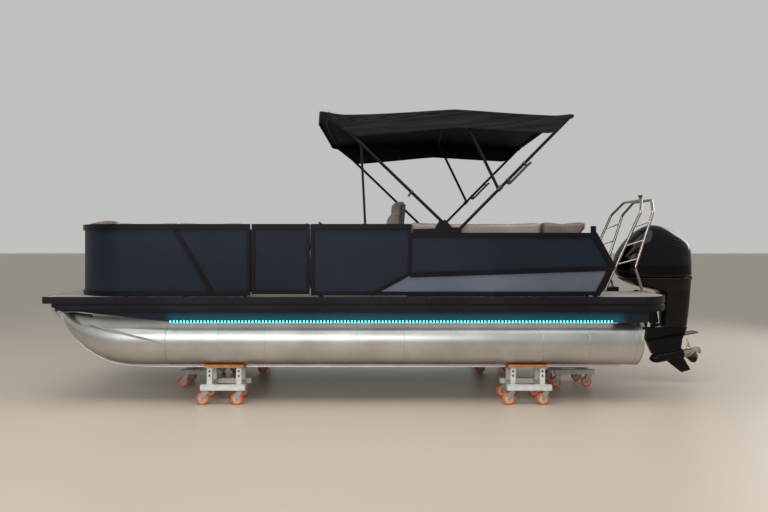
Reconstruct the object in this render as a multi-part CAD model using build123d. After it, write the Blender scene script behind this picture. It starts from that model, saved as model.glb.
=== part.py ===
from build123d import *
import math
import os

os.makedirs("parts", exist_ok=True)

# Millimetres. X runs forward to the bow, Y to port, Z up. The casters stand on Z 0.

# Hull and deck
BEAM = 2590
BOW_X = 4178
STERN_X = -3233
LOG_DIA = 584
LOG_AXIS_Z = 737
LOG_INSET = 365
CENTRE_LOG_DROP = 50
LOG_AFT_X = -2894
NOSE_JOINT_X = 2750
BEAM_DEPTH = 150
LOG_TO_BEAM = 90
BOARD_T = 19
COVERING_T = 6
TRIM_T = 25
WELL_HALF = 400
WELL_FRONT_X = -2700
STERN_CORNER = 400
BOW_CORNER = 60

# Fences, measured up from the deck
FENCE_INSET = 45
FENCE_TUBE = 38
FENCE_HEIGHT = 851
REAR_HEIGHT = 748
TOP_RAIL = 66
REAR_RAIL = 52
FOOT_GAP = 16
BOTTOM_RAIL = 45
FENCE_CORNER = 640
SKIN_T = 3
GATE_GAP = 14

# Canopy bows
BOW_TUBE_R = 18
BOW_RISE = 150

# Outboard
TRIM_DEG = 10.5
HUB_R = 50

# Dollies
CASTER_R = 72
BUNK_ANGLE = 10

log_r = LOG_DIA / 2
log_y = BEAM / 2 - LOG_INSET
beam_z0 = LOG_AXIS_Z + log_r + LOG_TO_BEAM
beam_z1 = beam_z0 + BEAM_DEPTH
board_z1 = beam_z1 + BOARD_T
deck_z = board_z1 + COVERING_T
fence_y = BEAM / 2 - FENCE_INSET
front_x = BOW_X - 278
half_tube = FENCE_TUBE / 2
gate_aft_x = front_x - 2852
gate_fore_x = front_x - 2175


def block(x0, x1, y0, y1, z0, z1):
    size = Box(abs(x1 - x0), abs(y1 - y0), abs(z1 - z0))
    return Pos((x0 + x1) / 2, (y0 + y1) / 2, (z0 + z1) / 2) * size


def side_plate(points, y0, y1):
    """Closed outline in X and Z, thick from y0 to y1."""
    face = make_face(Polyline(*points, close=True))
    return extrude(Plane.XZ.offset(-y1) * face, amount=y1 - y0)


def plan_plate(face, z0, z1):
    return extrude(Plane.XY.offset(z0) * face, amount=z1 - z0)


def bar(p, q, width, y0, y1):
    """Straight flat bar from p to q in X and Z."""
    length = math.dist(p, q)
    nx = -(q[1] - p[1]) / length * width / 2
    nz = (q[0] - p[0]) / length * width / 2
    corners = [
        (p[0] + nx, p[1] + nz),
        (q[0] + nx, q[1] + nz),
        (q[0] - nx, q[1] - nz),
        (p[0] - nx, p[1] - nz),
    ]
    return side_plate(corners, y0, y1)


def rod(p, q, radius):
    start = Plane(origin=p, z_dir=Vector(*q) - Vector(*p))
    return extrude(start * Circle(radius), amount=math.dist(p, q))


def across(place, y0, y1, radius):
    """Round pin across the boat through place in X and Z."""
    return rod((place[0], y0, place[1]), (place[0], y1, place[1]), radius)


def tube(points, radius, bend):
    path = FilletPolyline(*points, radius=bend)
    return sweep(Plane(path @ 0, z_dir=path % 0) * Circle(radius), path=path)


def mirrored(shapes):
    """The shapes and their images on the other side of the boat."""
    both = list(shapes)
    for shape in shapes:
        both.append(mirror(shape, about=Plane.XZ))
    return both


def fuse(shapes):
    joined = shapes[0]
    for shape in shapes[1:]:
        joined = joined + shape
    return joined


def save(name, shapes):
    solids = []
    for shape in shapes:
        solids.extend(shape.solids())
    export_step(Compound(solids), "parts/" + name + ".step")


# Logs: a straight barrel, a nose lofted through circles, and a keel bar below
NOSE = [
    {"x": 0, "low": 0, "high": 0},
    {"x": 170, "low": 0.5, "high": 0},
    {"x": 340, "low": 3, "high": 0},
    {"x": 500, "low": 11, "high": 1},
    {"x": 640, "low": 30, "high": 3},
    {"x": 780, "low": 70, "high": 8},
    {"x": 920, "low": 135, "high": 17},
    {"x": 1060, "low": 227, "high": 32},
    {"x": 1160, "low": 318, "high": 46},
    {"x": 1240, "low": 415, "high": 60},
    {"x": 1310, "low": 532, "high": 74},
    {"x": 1366, "low": 648, "high": 84},
]
KEEL_T = 14
KEEL_DEPTH = 30
CAP_DOME = 26


def log_body(y, axis_z, aft_x):
    barrel = rod((aft_x + CAP_DOME, y, axis_z), (NOSE_JOINT_X, y, axis_z), log_r)
    cap_edge = Plane(origin=(aft_x + CAP_DOME, y, axis_z), z_dir=(-1, 0, 0))
    cap_end = cap_edge.offset(CAP_DOME)
    cap = loft([cap_edge * Circle(log_r), cap_end * Circle(log_r - 2 * CAP_DOME)], ruled=True)
    rings = []
    keel = [(aft_x + 150, axis_z - log_r + KEEL_DEPTH), (aft_x + 200, axis_z - log_r - KEEL_DEPTH)]
    for station in NOSE:
        low = axis_z - log_r + station["low"] * LOG_DIA / 584
        high = axis_z + log_r + station["high"]
        ring = Plane(origin=(NOSE_JOINT_X + station["x"], y, (low + high) / 2), z_dir=(1, 0, 0))
        rings.append(ring * Circle((high - low) / 2))
        keel.append((NOSE_JOINT_X + station["x"], low - KEEL_DEPTH))
    nose = loft(rings)
    last = keel[-1]
    keel.append((last[0] + 8, last[1] + 1.4 * KEEL_DEPTH))
    for station in reversed(NOSE):
        low = axis_z - log_r + station["low"] * LOG_DIA / 584
        keel.append((NOSE_JOINT_X + station["x"] - 12, low + 14))
    keel_bar = side_plate(keel, y - KEEL_T / 2, y + KEEL_T / 2)
    return barrel + cap + nose + keel_bar


EYE_BORE_R = 12
EYE_T = 14
eye_x = BOW_X - 25
eye_z = beam_z0 - 34
eye_outline = [
    (eye_x - 150, eye_z - 90),
    (eye_x - 60, beam_z0),
    (eye_x + 22, beam_z0),
    (eye_x + 22, eye_z - 26),
    (eye_x - 20, eye_z - 70),
]
outer_log = log_body(log_y, LOG_AXIS_Z, LOG_AFT_X)
bow_eye = side_plate(eye_outline, log_y - EYE_T / 2, log_y + EYE_T / 2)
bow_eye -= rod((eye_x, log_y - EYE_T, eye_z), (eye_x, log_y + EYE_T, eye_z), EYE_BORE_R)
bow_eye -= outer_log
centre_axis_z = LOG_AXIS_Z - CENTRE_LOG_DROP
CENTRE_AFT_X = -3206
centre_log = log_body(0, centre_axis_z, CENTRE_AFT_X)
save("port_log", [outer_log])
save("starboard_log", [mirror(outer_log, about=Plane.XZ)])
save("centre_log", [centre_log])
save("bow_eyes", mirrored([bow_eye]))

# Risers carry the deck beams on the logs
RISER_W = 110
RISER_FORE = 3700
CENTRE_RISER_AFT = -2690
riser_z0 = LOG_AXIS_Z + 0.75 * log_r
outer_riser = block(LOG_AFT_X + 60, RISER_FORE, log_y - RISER_W / 2, log_y + RISER_W / 2, riser_z0, beam_z0)
outer_riser -= outer_log
centre_riser = block(CENTRE_RISER_AFT, RISER_FORE, -RISER_W / 2, RISER_W / 2, riser_z0 - CENTRE_LOG_DROP, beam_z0)
centre_riser -= centre_log
save("log_risers", mirrored([outer_riser]) + [centre_riser])

# Deck beams run across, and stop at the motor well
BEAM_W = 40
BEAM_PITCH = 406
inner_half = BEAM / 2 - TRIM_T
beams = []
beam_x = BOW_X - 140
while beam_x > STERN_X + 130:
    if beam_x < WELL_FRONT_X + BEAM_W:
        reach = inner_half - 110
        half = block(beam_x - BEAM_W / 2, beam_x + BEAM_W / 2, WELL_HALF + TRIM_T, reach, beam_z0, beam_z1)
        beams.extend(mirrored([half]))
    else:
        beams.append(
            block(beam_x - BEAM_W / 2, beam_x + BEAM_W / 2, -inner_half, inner_half, beam_z0, beam_z1)
        )
    beam_x -= BEAM_PITCH
save("deck_beams", beams)


def deck_face(inset):
    """Plan of the deck with the motor well cut out of the stern."""
    w = BEAM / 2 - inset
    length = BOW_X - STERN_X - 2 * inset
    mid = (BOW_X + STERN_X) / 2
    face = Pos(mid, 0) * Rectangle(length, 2 * w)
    face = fillet(face.vertices().group_by(Axis.X)[-1], BOW_CORNER - inset)
    face = fillet(face.vertices().group_by(Axis.X)[0], STERN_CORNER - inset)
    well_front = WELL_FRONT_X + inset
    well = Pos((well_front + STERN_X - 100) / 2, 0) * Rectangle(
        well_front - STERN_X + 100, 2 * (WELL_HALF + inset)
    )
    return face - well


save("deck_board", [plan_plate(deck_face(TRIM_T), beam_z1, board_z1)])
save("deck_covering", [plan_plate(deck_face(TRIM_T), board_z1, deck_z)])

# Rub rail all round the deck edge, in bands that stand out and step back
RAIL_BANDS = [
    {"low": -175, "high": -152, "inset": 12},
    {"low": -152, "high": -102, "inset": 0},
    {"low": -102, "high": -79, "inset": 12},
    {"low": -79, "high": 0, "inset": 0},
]
upper_low = deck_z + RAIL_BANDS[-1]["low"]
rail_foot = deck_z + RAIL_BANDS[0]["low"] - 1
LOWER_FORE = 125
LOWER_TAPER = 130
# The lower bands run out towards the bow, so only the upper one crosses it
bow_cut = side_plate(
    [
        (BOW_X - LOWER_FORE - LOWER_TAPER, rail_foot),
        (BOW_X - LOWER_FORE, upper_low - 30),
        (BOW_X - LOWER_FORE, upper_low),
        (BOW_X + 10, upper_low),
        (BOW_X + 10, rail_foot),
    ],
    -BEAM / 2 - 10, BEAM / 2 + 10,
)
bands = []
for band in RAIL_BANDS:
    ring_face = deck_face(band["inset"]) - deck_face(TRIM_T)
    plate = plan_plate(ring_face, deck_z + band["low"], deck_z + band["high"])
    if band["low"] < RAIL_BANDS[-1]["low"]:
        plate -= bow_cut
    bands.append(plate)
save("rub_rail", [fuse(bands)])

# Skirts hang behind the rub rail, each with a light strip along its foot
SKIRT_T = 4
SKIRT_DROP = 118
skirt_y = BEAM / 2 - 40
skirt_low = beam_z0 - SKIRT_DROP
skirt_outline = [
    (LOG_AFT_X - 20, beam_z0),
    (BOW_X - 420, beam_z0),
    (BOW_X - 1485, skirt_low),
    (LOG_AFT_X - 20, skirt_low),
]
save("side_skirts", mirrored([side_plate(skirt_outline, skirt_y - SKIRT_T, skirt_y)]))
STRIP_H = 12
strip = block(LOG_AFT_X, BOW_X - 1490, skirt_y - 10, skirt_y + 2, skirt_low - STRIP_H, skirt_low)
save("light_strips", mirrored([strip]))

# The pod stands on the centre log and ends in the transom that carries the motor
POD_HALF = 300
TRANSOM_T = 25
TRANSOM_TOP = beam_z0 + 85
pod = block(CENTRE_AFT_X, WELL_FRONT_X, -POD_HALF, POD_HALF, centre_axis_z + 40, beam_z0)
pod -= rod((CENTRE_AFT_X - 1, 0, centre_axis_z), (WELL_FRONT_X + 1, 0, centre_axis_z), log_r)
BOX_AFT_X = -3310
BOX_HALF = 190
box_z0 = beam_z0 - 320
pod += block(BOX_AFT_X, CENTRE_AFT_X + 10, -BOX_HALF, BOX_HALF, box_z0, beam_z0)
pod -= centre_log
transom_x = BOX_AFT_X - TRANSOM_T
transom = block(transom_x, BOX_AFT_X, -BOX_HALF, BOX_HALF, box_z0, TRANSOM_TOP)
knee = [
    (CENTRE_AFT_X, TRANSOM_TOP - 30),
    (CENTRE_AFT_X, beam_z0 - 5),
    (CENTRE_AFT_X + 160, beam_z0 - 5),
]
knees = mirrored([side_plate(knee, POD_HALF - 30, POD_HALF - 20)])
save("transom_pod", [fuse([pod, transom] + knees)])


def fence_face(half_thick, aft_x):
    """Plan of a wall along the fence line, round the bow corners."""
    faces = []
    for side in (half_thick, -half_thick):
        w = fence_y + side
        front = front_x + side
        face = Pos((front + aft_x) / 2, 0) * Rectangle(front - aft_x, 2 * w)
        faces.append(fillet(face.vertices().group_by(Axis.X)[-1], FENCE_CORNER + side))
    return faces[0] - faces[1]


def bow_wall(half_thick, x0, y0, z0, z1):
    """Port half of the bow wall, from the side at x0 to the front at y0."""
    ring = plan_plate(fence_face(half_thick, x0 - 500), z0, z1)
    return ring & block(x0, BOW_X, y0, BEAM, z0, z1)


# Bow fences, from the bow gate round the corner and back
BOW_GATE_HALF = 330
low_z = deck_z + FOOT_GAP
low_z1 = low_z + BOTTOM_RAIL
top_z1 = deck_z + FENCE_HEIGHT
top_z = top_z1 - TOP_RAIL
gate_post_y = BOW_GATE_HALF


def bow_fence(aft_x):
    parts = [
        bow_wall(half_tube, aft_x, gate_post_y, low_z, low_z1),
        bow_wall(half_tube + 3, aft_x, gate_post_y, top_z, top_z1),
        block(
            front_x - half_tube, front_x + half_tube,
            gate_post_y, gate_post_y + FENCE_TUBE, low_z, top_z + 10,
        ),
        block(aft_x, aft_x + FENCE_TUBE, fence_y - half_tube, fence_y + half_tube, low_z, top_z + 10),
    ]
    for x in (front_x - FENCE_CORNER - 60, (front_x - FENCE_CORNER + aft_x) / 2, aft_x + 60):
        parts.append(block(x - 25, x + 25, fence_y - 15, fence_y + 15, deck_z, low_z + 5))
    parts.append(block(front_x - 15, front_x + 15, gate_post_y + 20, gate_post_y + 70, deck_z, low_z + 5))
    return fuse(parts)


TRIM_BAR = 55
trim_top = (front_x - 1274, top_z + 5)
trim_foot = (front_x - 1712, low_z1 - 5)
fore_gate_edge = gate_fore_x + GATE_GAP + 6
port_bow = bow_fence(fore_gate_edge) + bar(trim_top, trim_foot, TRIM_BAR, fence_y - 2, fence_y + 12)
aft_gate_edge = gate_aft_x - GATE_GAP
starboard_bow = bow_fence(aft_gate_edge) + bar(trim_top, trim_foot, TRIM_BAR, fence_y - 2, fence_y + 12)
starboard_bow = mirror(starboard_bow, about=Plane.XZ)

# Side fences: a middle panel with its lower aft corner cut off, then a lower rear panel
step_x = front_x - 4023
cut_top = (step_x - 10, deck_z + 277)
cut_foot = (step_x + 453, low_z + 5)
end_x = front_x - 6170
knee_x = front_x - 6390
knee_z = deck_z + 353
foot_x = front_x - 6230
rear_top_z = deck_z + REAR_HEIGHT
rear_rail_z = rear_top_z - REAR_RAIL
mid_fore = (step_x, deck_z + 254)
mid_aft = (knee_x + 20, deck_z + 332)
MID_RAIL = 58
END_BAR = 66
face_y = fence_y + half_tube
back_y = fence_y - half_tube
fence_parts = [
    block(step_x, aft_gate_edge, back_y - 3, face_y + 3, top_z, top_z1),
    block(aft_gate_edge - FENCE_TUBE, aft_gate_edge, back_y, face_y, low_z, top_z + 10),
    block(step_x - half_tube, step_x + half_tube, back_y, face_y, cut_top[1] - 20, top_z1),
    bar(cut_top, cut_foot, FENCE_TUBE, back_y, face_y),
    block(foot_x, aft_gate_edge, back_y, face_y, low_z, low_z1),
    block(end_x, step_x, back_y, face_y, rear_rail_z, rear_top_z),
    bar(mid_fore, mid_aft, MID_RAIL, back_y, face_y),
    bar((end_x, rear_top_z + 78), (end_x, rear_top_z - 60), 52, back_y, face_y),
    bar((end_x - 5, rear_top_z - 10), (knee_x, knee_z), END_BAR, back_y, face_y),
    bar((knee_x, knee_z), (foot_x + 20, low_z + 8), END_BAR, back_y, face_y),
    rod((knee_x, back_y, knee_z), (knee_x, face_y, knee_z), END_BAR / 2),
]
for x in (aft_gate_edge - 120, step_x, -1200, foot_x + 40):
    fence_parts.append(block(x - 25, x + 25, fence_y - 15, fence_y + 15, deck_z, low_z + 5))
side_fence = fuse(fence_parts)

# Stern fence with a gate to starboard of the middle
STERN_GATE = [-1050, -450]
stern_x = end_x + 60


def stern_fence(y0, y1):
    parts = [
        block(stern_x - half_tube, stern_x + half_tube, y0, y1, low_z, low_z1),
        block(stern_x - half_tube, stern_x + half_tube, y0, y1, rear_rail_z, rear_top_z),
    ]
    for y in (y0, y1 - FENCE_TUBE):
        parts.append(
            block(stern_x - half_tube, stern_x + half_tube, y, y + FENCE_TUBE, low_z, rear_top_z)
        )
        parts.append(block(stern_x - 15, stern_x + 15, y + 4, y + 34, deck_z, low_z + 5))
    return fuse(parts)


stern_port = stern_fence(STERN_GATE[1] + GATE_GAP, back_y)
stern_starboard = stern_fence(-back_y, STERN_GATE[0] - GATE_GAP)

# Skins: thin sheets in the middle of the frames
skin_half = SKIN_T / 2
skin_y0 = fence_y - skin_half
skin_y1 = fence_y + skin_half
port_bow_skin = bow_wall(skin_half, fore_gate_edge + FENCE_TUBE, gate_post_y + FENCE_TUBE, low_z1, top_z)
star_bow_skin = bow_wall(skin_half, aft_gate_edge + FENCE_TUBE, gate_post_y + FENCE_TUBE, low_z1, top_z)
bow_skins = [port_bow_skin - port_bow, mirror(star_bow_skin, about=Plane.XZ) - starboard_bow]
side_area = [
    (aft_gate_edge - 5, low_z1 - 5),
    (aft_gate_edge - 5, top_z + 5),
    (step_x - 5, top_z + 5),
    (step_x - 5, rear_rail_z + 5),
    (end_x, rear_rail_z + 5),
    (knee_x, knee_z),
    (foot_x + 20, low_z1 - 5),
]
side_sheets = (side_plate(side_area, skin_y0, skin_y1) - side_fence).solids()
silver = min(side_sheets, key=lambda s: s.center().Z + (1e6 if s.center().X > step_x else 0))
dark = [s for s in side_sheets if s is not silver and s.volume > 1e5]
stern_skins = []
for y0, y1 in (
    (STERN_GATE[1] + GATE_GAP + FENCE_TUBE, back_y - FENCE_TUBE),
    (-back_y + FENCE_TUBE, STERN_GATE[0] - GATE_GAP - FENCE_TUBE),
):
    stern_skins.append(block(stern_x - skin_half, stern_x + skin_half, y0, y1, low_z1, rear_rail_z))
save("fence_skins", bow_skins + mirrored(dark) + stern_skins)
save("silver_panels", mirrored([silver]))

# Gate hinges: a pinned ear on the fence post and a knuckle on the gate
PIN_R = 4
KNUCKLE_R = 9
KNUCKLE_H = 40
EAR_T = 6
HINGE_RISE = [150, 560]


def hinge_parts(axis_x, axis_y, post, gate):
    """post and gate are the reach of each leaf from the pin in X and Y."""
    ears = []
    knuckles = []
    for rise in HINGE_RISE:
        z = deck_z + rise
        reach = block(
            min(axis_x - PIN_R, axis_x + post[0]), max(axis_x + PIN_R, axis_x + post[0]),
            min(axis_y - PIN_R, axis_y + post[1]), max(axis_y + PIN_R, axis_y + post[1]),
            z, z + EAR_T,
        )
        ears.append(reach + rod((axis_x, axis_y, z), (axis_x, axis_y, z + EAR_T + KNUCKLE_H), PIN_R))
        base = z + EAR_T + 2
        leaf = block(
            min(axis_x, axis_x + gate[0]), max(axis_x, axis_x + gate[0]),
            min(axis_y - 5, axis_y + gate[1]), max(axis_y + 5, axis_y + gate[1]),
            base, base + KNUCKLE_H,
        )
        if gate[0] == 0:
            leaf = block(
                axis_x - 5, axis_x + 5, min(axis_y, axis_y + gate[1]), max(axis_y, axis_y + gate[1]),
                base, base + KNUCKLE_H,
            )
        knuckle = rod((axis_x, axis_y, base), (axis_x, axis_y, base + KNUCKLE_H), KNUCKLE_R) + leaf
        knuckle -= rod((axis_x, axis_y, base - 1), (axis_x, axis_y, base + KNUCKLE_H + 1), PIN_R + 0.05)
        knuckles.append(knuckle)
    return ears, knuckles


HINGE_OUT = 13
port_pin = (gate_aft_x - GATE_GAP / 2, back_y - HINGE_OUT)
port_ears, port_knuckles = hinge_parts(port_pin[0], port_pin[1], (-25, HINGE_OUT + 4), (30, HINGE_OUT))
bow_gate_y = BOW_GATE_HALF - GATE_GAP
bow_pin = (front_x - half_tube - HINGE_OUT, BOW_GATE_HALF - GATE_GAP / 2)
bow_ears, bow_knuckles = hinge_parts(bow_pin[0], bow_pin[1], (HINGE_OUT + 4, 25), (HINGE_OUT, -30))
stern_pin = (stern_x + half_tube + HINGE_OUT, STERN_GATE[0] - GATE_GAP / 2)
stern_ears, stern_knuckles = hinge_parts(
    stern_pin[0], stern_pin[1], (-HINGE_OUT - 4, -25), (-HINGE_OUT, 30)
)
side_with_ears = fuse([side_fence] + port_ears)
save("side_fence_frames", [side_with_ears, mirror(side_fence, about=Plane.XZ)])
save("bow_fence_frames", [fuse([port_bow] + bow_ears), starboard_bow])
save("stern_fence_frames", [stern_port, fuse([stern_starboard] + stern_ears)])

# Port gate
GATE_TUBE = 34
gate_x0 = gate_aft_x
gate_x1 = gate_fore_x
gate_low = low_z + 14


def side_gate(x0, x1, knuckles):
    outer = block(x0, x1, fence_y - half_tube, fence_y + half_tube, gate_low, top_z1)
    hole = block(
        x0 + GATE_TUBE, x1 - GATE_TUBE, fence_y - FENCE_TUBE, fence_y + FENCE_TUBE,
        gate_low + BOTTOM_RAIL, top_z1 - TOP_RAIL,
    )
    skin = block(
        x0 + GATE_TUBE, x1 - GATE_TUBE, skin_y0, skin_y1, gate_low + BOTTOM_RAIL, top_z1 - TOP_RAIL
    )
    return fuse([outer - hole] + knuckles), skin


port_gate, port_gate_skin = side_gate(gate_x0, gate_x1, port_knuckles)
save("port_gate_frame", [port_gate])
save("port_gate_skin", [port_gate_skin])


def cross_gate(x, y0, y1, z1, rail, knuckles):
    outer = block(x - half_tube, x + half_tube, y0, y1, gate_low, z1)
    hole = block(
        x - FENCE_TUBE, x + FENCE_TUBE, y0 + GATE_TUBE, y1 - GATE_TUBE, gate_low + BOTTOM_RAIL, z1 - rail
    )
    skin = block(
        x - skin_half, x + skin_half, y0 + GATE_TUBE, y1 - GATE_TUBE, gate_low + BOTTOM_RAIL, z1 - rail
    )
    return fuse([outer - hole] + knuckles), skin


bow_gate, bow_gate_skin = cross_gate(front_x, -bow_gate_y, bow_gate_y, top_z1, TOP_RAIL, bow_knuckles)
save("bow_gate_frame", [bow_gate])
save("bow_gate_skin", [bow_gate_skin])
stern_gate, stern_gate_skin = cross_gate(
    stern_x, STERN_GATE[0], STERN_GATE[1], rear_top_z, REAR_RAIL, stern_knuckles
)
save("stern_gate_frame", [stern_gate])
save("stern_gate_skin", [stern_gate_skin])

# Lounges: moulded bases with seat and back cushions
SEAT_Z = 350
SEAT_T = 110
AISLE = 500
wall_gap = 14
inner_room = Pos((front_x + end_x) / 2, 0) * Rectangle(
    front_x - end_x - 2 * (half_tube + wall_gap), 2 * (fence_y - half_tube - wall_gap)
)
inner_room = fillet(
    inner_room.vertices().group_by(Axis.X)[-1], FENCE_CORNER - half_tube - wall_gap
)
room = plan_plate(inner_room, deck_z, deck_z + 1200)
bow_seat_x0 = gate_fore_x + 130
bow_seat_x1 = front_x - 120
seat_z0 = deck_z + SEAT_Z
seat_z1 = seat_z0 + SEAT_T
wall_in = fence_y - half_tube - wall_gap
BACK_T = 170
back_face_y = wall_in - BACK_T
bow_base = block(bow_seat_x0, bow_seat_x1, AISLE, BEAM, deck_z, seat_z0) & room
bow_seat = block(bow_seat_x0, bow_seat_x1, AISLE, back_face_y - 2, seat_z0, seat_z1) & room
bow_back = block(bow_seat_x0, front_x - 530, back_face_y, BEAM, seat_z0, deck_z + 866) & room
bow_bolster = block(front_x - 528, bow_seat_x1, back_face_y - 60, BEAM, seat_z1, deck_z + 888) & room
save("bow_lounge_bases", mirrored([bow_base]))
save("bow_seat_cushions", mirrored([bow_seat]))
save("bow_back_cushions", mirrored([bow_back]))
save("bow_bolsters", mirrored([bow_bolster]))

stern_in = stern_x + half_tube + wall_gap
LOUNGE_FORE_X = step_x - 12
CORNER_SPLIT_X = step_x - 1560
long_base = block(stern_in, LOUNGE_FORE_X, AISLE + 80, wall_in, deck_z, seat_z0)
long_base += block(stern_in, stern_in + 640, STERN_GATE[1] + 130, wall_in, deck_z, seat_z0)
side_seat = block(stern_in + BACK_T + 2, LOUNGE_FORE_X, AISLE + 80, back_face_y - 2, seat_z0, seat_z1)
cross_seat = block(
    stern_in + BACK_T + 2, stern_in + 640, STERN_GATE[1] + 130, AISLE + 78, seat_z0, seat_z1
)
BACK_TOP = 880
side_back = block(CORNER_SPLIT_X + 2, LOUNGE_FORE_X, back_face_y, wall_in, seat_z0, deck_z + BACK_TOP)
corner_back = block(stern_in, CORNER_SPLIT_X, back_face_y, wall_in, seat_z0, deck_z + BACK_TOP)
cross_back = block(
    stern_in, stern_in + BACK_T, STERN_GATE[1] + 130, back_face_y - 2, seat_z0, deck_z + BACK_TOP
)
save("stern_lounge_base", [long_base])
save("stern_seat_cushions", [side_seat, cross_seat])
save("stern_back_cushion", [side_back])
save("stern_corner_cushions", [corner_back, cross_back])

# Helm: console, wheel and chair to starboard
HELM_Y = -600
CONSOLE_W = 760
console_x = 1030
console_outline = [
    (console_x, deck_z),
    (console_x + 560, deck_z),
    (console_x + 480, deck_z + 560),
    (console_x + 250, deck_z + 850),
    (console_x + 60, deck_z + 850),
    (console_x - 40, deck_z + 640),
    (console_x + 60, deck_z + 560),
]
console = side_plate(console_outline, HELM_Y - CONSOLE_W / 2, HELM_Y + CONSOLE_W / 2)
WHEEL_R = 178
WHEEL_RIM_R = 15
WHEEL_TILT = 45
wheel_dir = Vector(math.cos(math.radians(WHEEL_TILT)), 0, -math.sin(math.radians(WHEEL_TILT)))
wheel_hub = Vector(console_x - 75, HELM_Y, deck_z + 815)
wheel_plane = Plane(origin=wheel_hub, x_dir=(0, 1, 0), z_dir=wheel_dir)
rim = wheel_plane * Torus(WHEEL_R - WHEEL_RIM_R, WHEEL_RIM_R)
spokes = []
for turn in (0, 120, 240):
    angle = math.radians(turn + 90)
    reach = WHEEL_R - WHEEL_RIM_R
    tip = wheel_plane.from_local_coords(
        Vector(reach * math.cos(angle), reach * math.sin(angle), 0)
    )
    spokes.append(rod(tuple(wheel_hub), tuple(tip), 8))
SHAFT_R = 14
hub_back = wheel_hub - wheel_dir * 14
hub_front = wheel_hub + wheel_dir * 22
shaft_end = wheel_hub + wheel_dir * 150
wheel = fuse(
    [rim] + spokes
    + [rod(tuple(hub_back), tuple(hub_front), 34), rod(tuple(wheel_hub), tuple(shaft_end), SHAFT_R)]
)
shaft_room = wheel_hub + wheel_dir * 155
console -= rod(tuple(wheel_hub + wheel_dir * 5), tuple(shaft_room), SHAFT_R + 1)
save("helm_console", [console])
save("steering_wheel", [wheel])

CHAIR_X = 150
CHAIR_SEAT = 470
POST_R = 38
post_top = deck_z + CHAIR_SEAT - 60
pedestal = rod((CHAIR_X, HELM_Y, deck_z), (CHAIR_X, HELM_Y, deck_z + 12), 150)
pedestal += rod((CHAIR_X, HELM_Y, deck_z + 5), (CHAIR_X, HELM_Y, post_top), POST_R)
save("helm_pedestal", [pedestal])
CHAIR_HALF = 265
chair_plate = rod((CHAIR_X, HELM_Y, post_top + 2), (CHAIR_X, HELM_Y, post_top + 32), 110)
seat_pan = block(
    CHAIR_X - 260, CHAIR_X + 260, HELM_Y - CHAIR_HALF, HELM_Y + CHAIR_HALF, post_top + 30, post_top + 62
)
back_shell = side_plate(
    [
        (CHAIR_X - 260, post_top + 34),
        (CHAIR_X - 180, post_top + 34),
        (CHAIR_X - 275, deck_z + 1180),
        (CHAIR_X - 330, deck_z + 1180),
    ],
    HELM_Y - CHAIR_HALF + 30, HELM_Y + CHAIR_HALF - 30,
)
save("helm_seat_shell", [chair_plate + seat_pan + back_shell])
cushion_z = post_top + 62
seat_pad = block(
    CHAIR_X - 120, CHAIR_X + 275, HELM_Y - CHAIR_HALF, HELM_Y + CHAIR_HALF, cushion_z, cushion_z + 100
)
back_line = [
    (CHAIR_X - 180, cushion_z),
    (CHAIR_X - 122, cushion_z),
    (CHAIR_X - 122, cushion_z + 160),
    (CHAIR_X - 172, deck_z + 1230),
    (CHAIR_X - 330, deck_z + 1250),
    (CHAIR_X - 330, deck_z + 1182),
    (CHAIR_X - 275, deck_z + 1182),
]
back_pad = side_plate(back_line, HELM_Y - CHAIR_HALF + 25, HELM_Y + CHAIR_HALF - 25) - back_shell
# Side bolsters of the back, so that the chair holds its sitter
WING_T = 62
wing_line = [
    (CHAIR_X - 170, cushion_z + 102),
    (CHAIR_X + 95, cushion_z + 102),
    (CHAIR_X + 45, cushion_z + 250),
    (CHAIR_X - 27, cushion_z + 384),
    (CHAIR_X - 110, cushion_z + 560),
    (CHAIR_X - 165, cushion_z + 600),
]
for side in (-1, 1):
    wing_y = HELM_Y + side * (CHAIR_HALF - 25)
    back_pad += side_plate(wing_line, wing_y, wing_y - side * WING_T)
back_pad -= back_shell
save("helm_seat_cushions", [seat_pad, back_pad])

# Tow bar over the motor
BAR_R = 18
BAR_Y = 485
BAR_TOP_Y = 280
bar_top_z = deck_z + 1198
shoulder_z = deck_z + 1032
front_line = [(-2690, BAR_Y, deck_z + 7.5), (-3158, BAR_Y, shoulder_z), (-3254, BAR_TOP_Y, bar_top_z)]
rear_line = [
    (-3180, BAR_Y, deck_z + 7.5),
    (-3085, BAR_Y, deck_z + 306),
    (-3318, BAR_Y, shoulder_z),
    (-3390, BAR_TOP_Y, bar_top_z),
]
RUNGS = [350, 590, 835]
BEND_R = 70


def at_height(line, z):
    for (xa, ya, za), (xb, yb, zb) in zip(line, line[1:]):
        if za <= z <= zb:
            t = (z - za) / (zb - za)
            return (xa + t * (xb - xa), ya + t * (yb - ya), z)


def hoop(line):
    """One rail up, across the top and down the other side."""
    back = [(x, -y, z) for x, y, z in reversed(line)]
    return tube(line + back, BAR_R, BEND_R)


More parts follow.
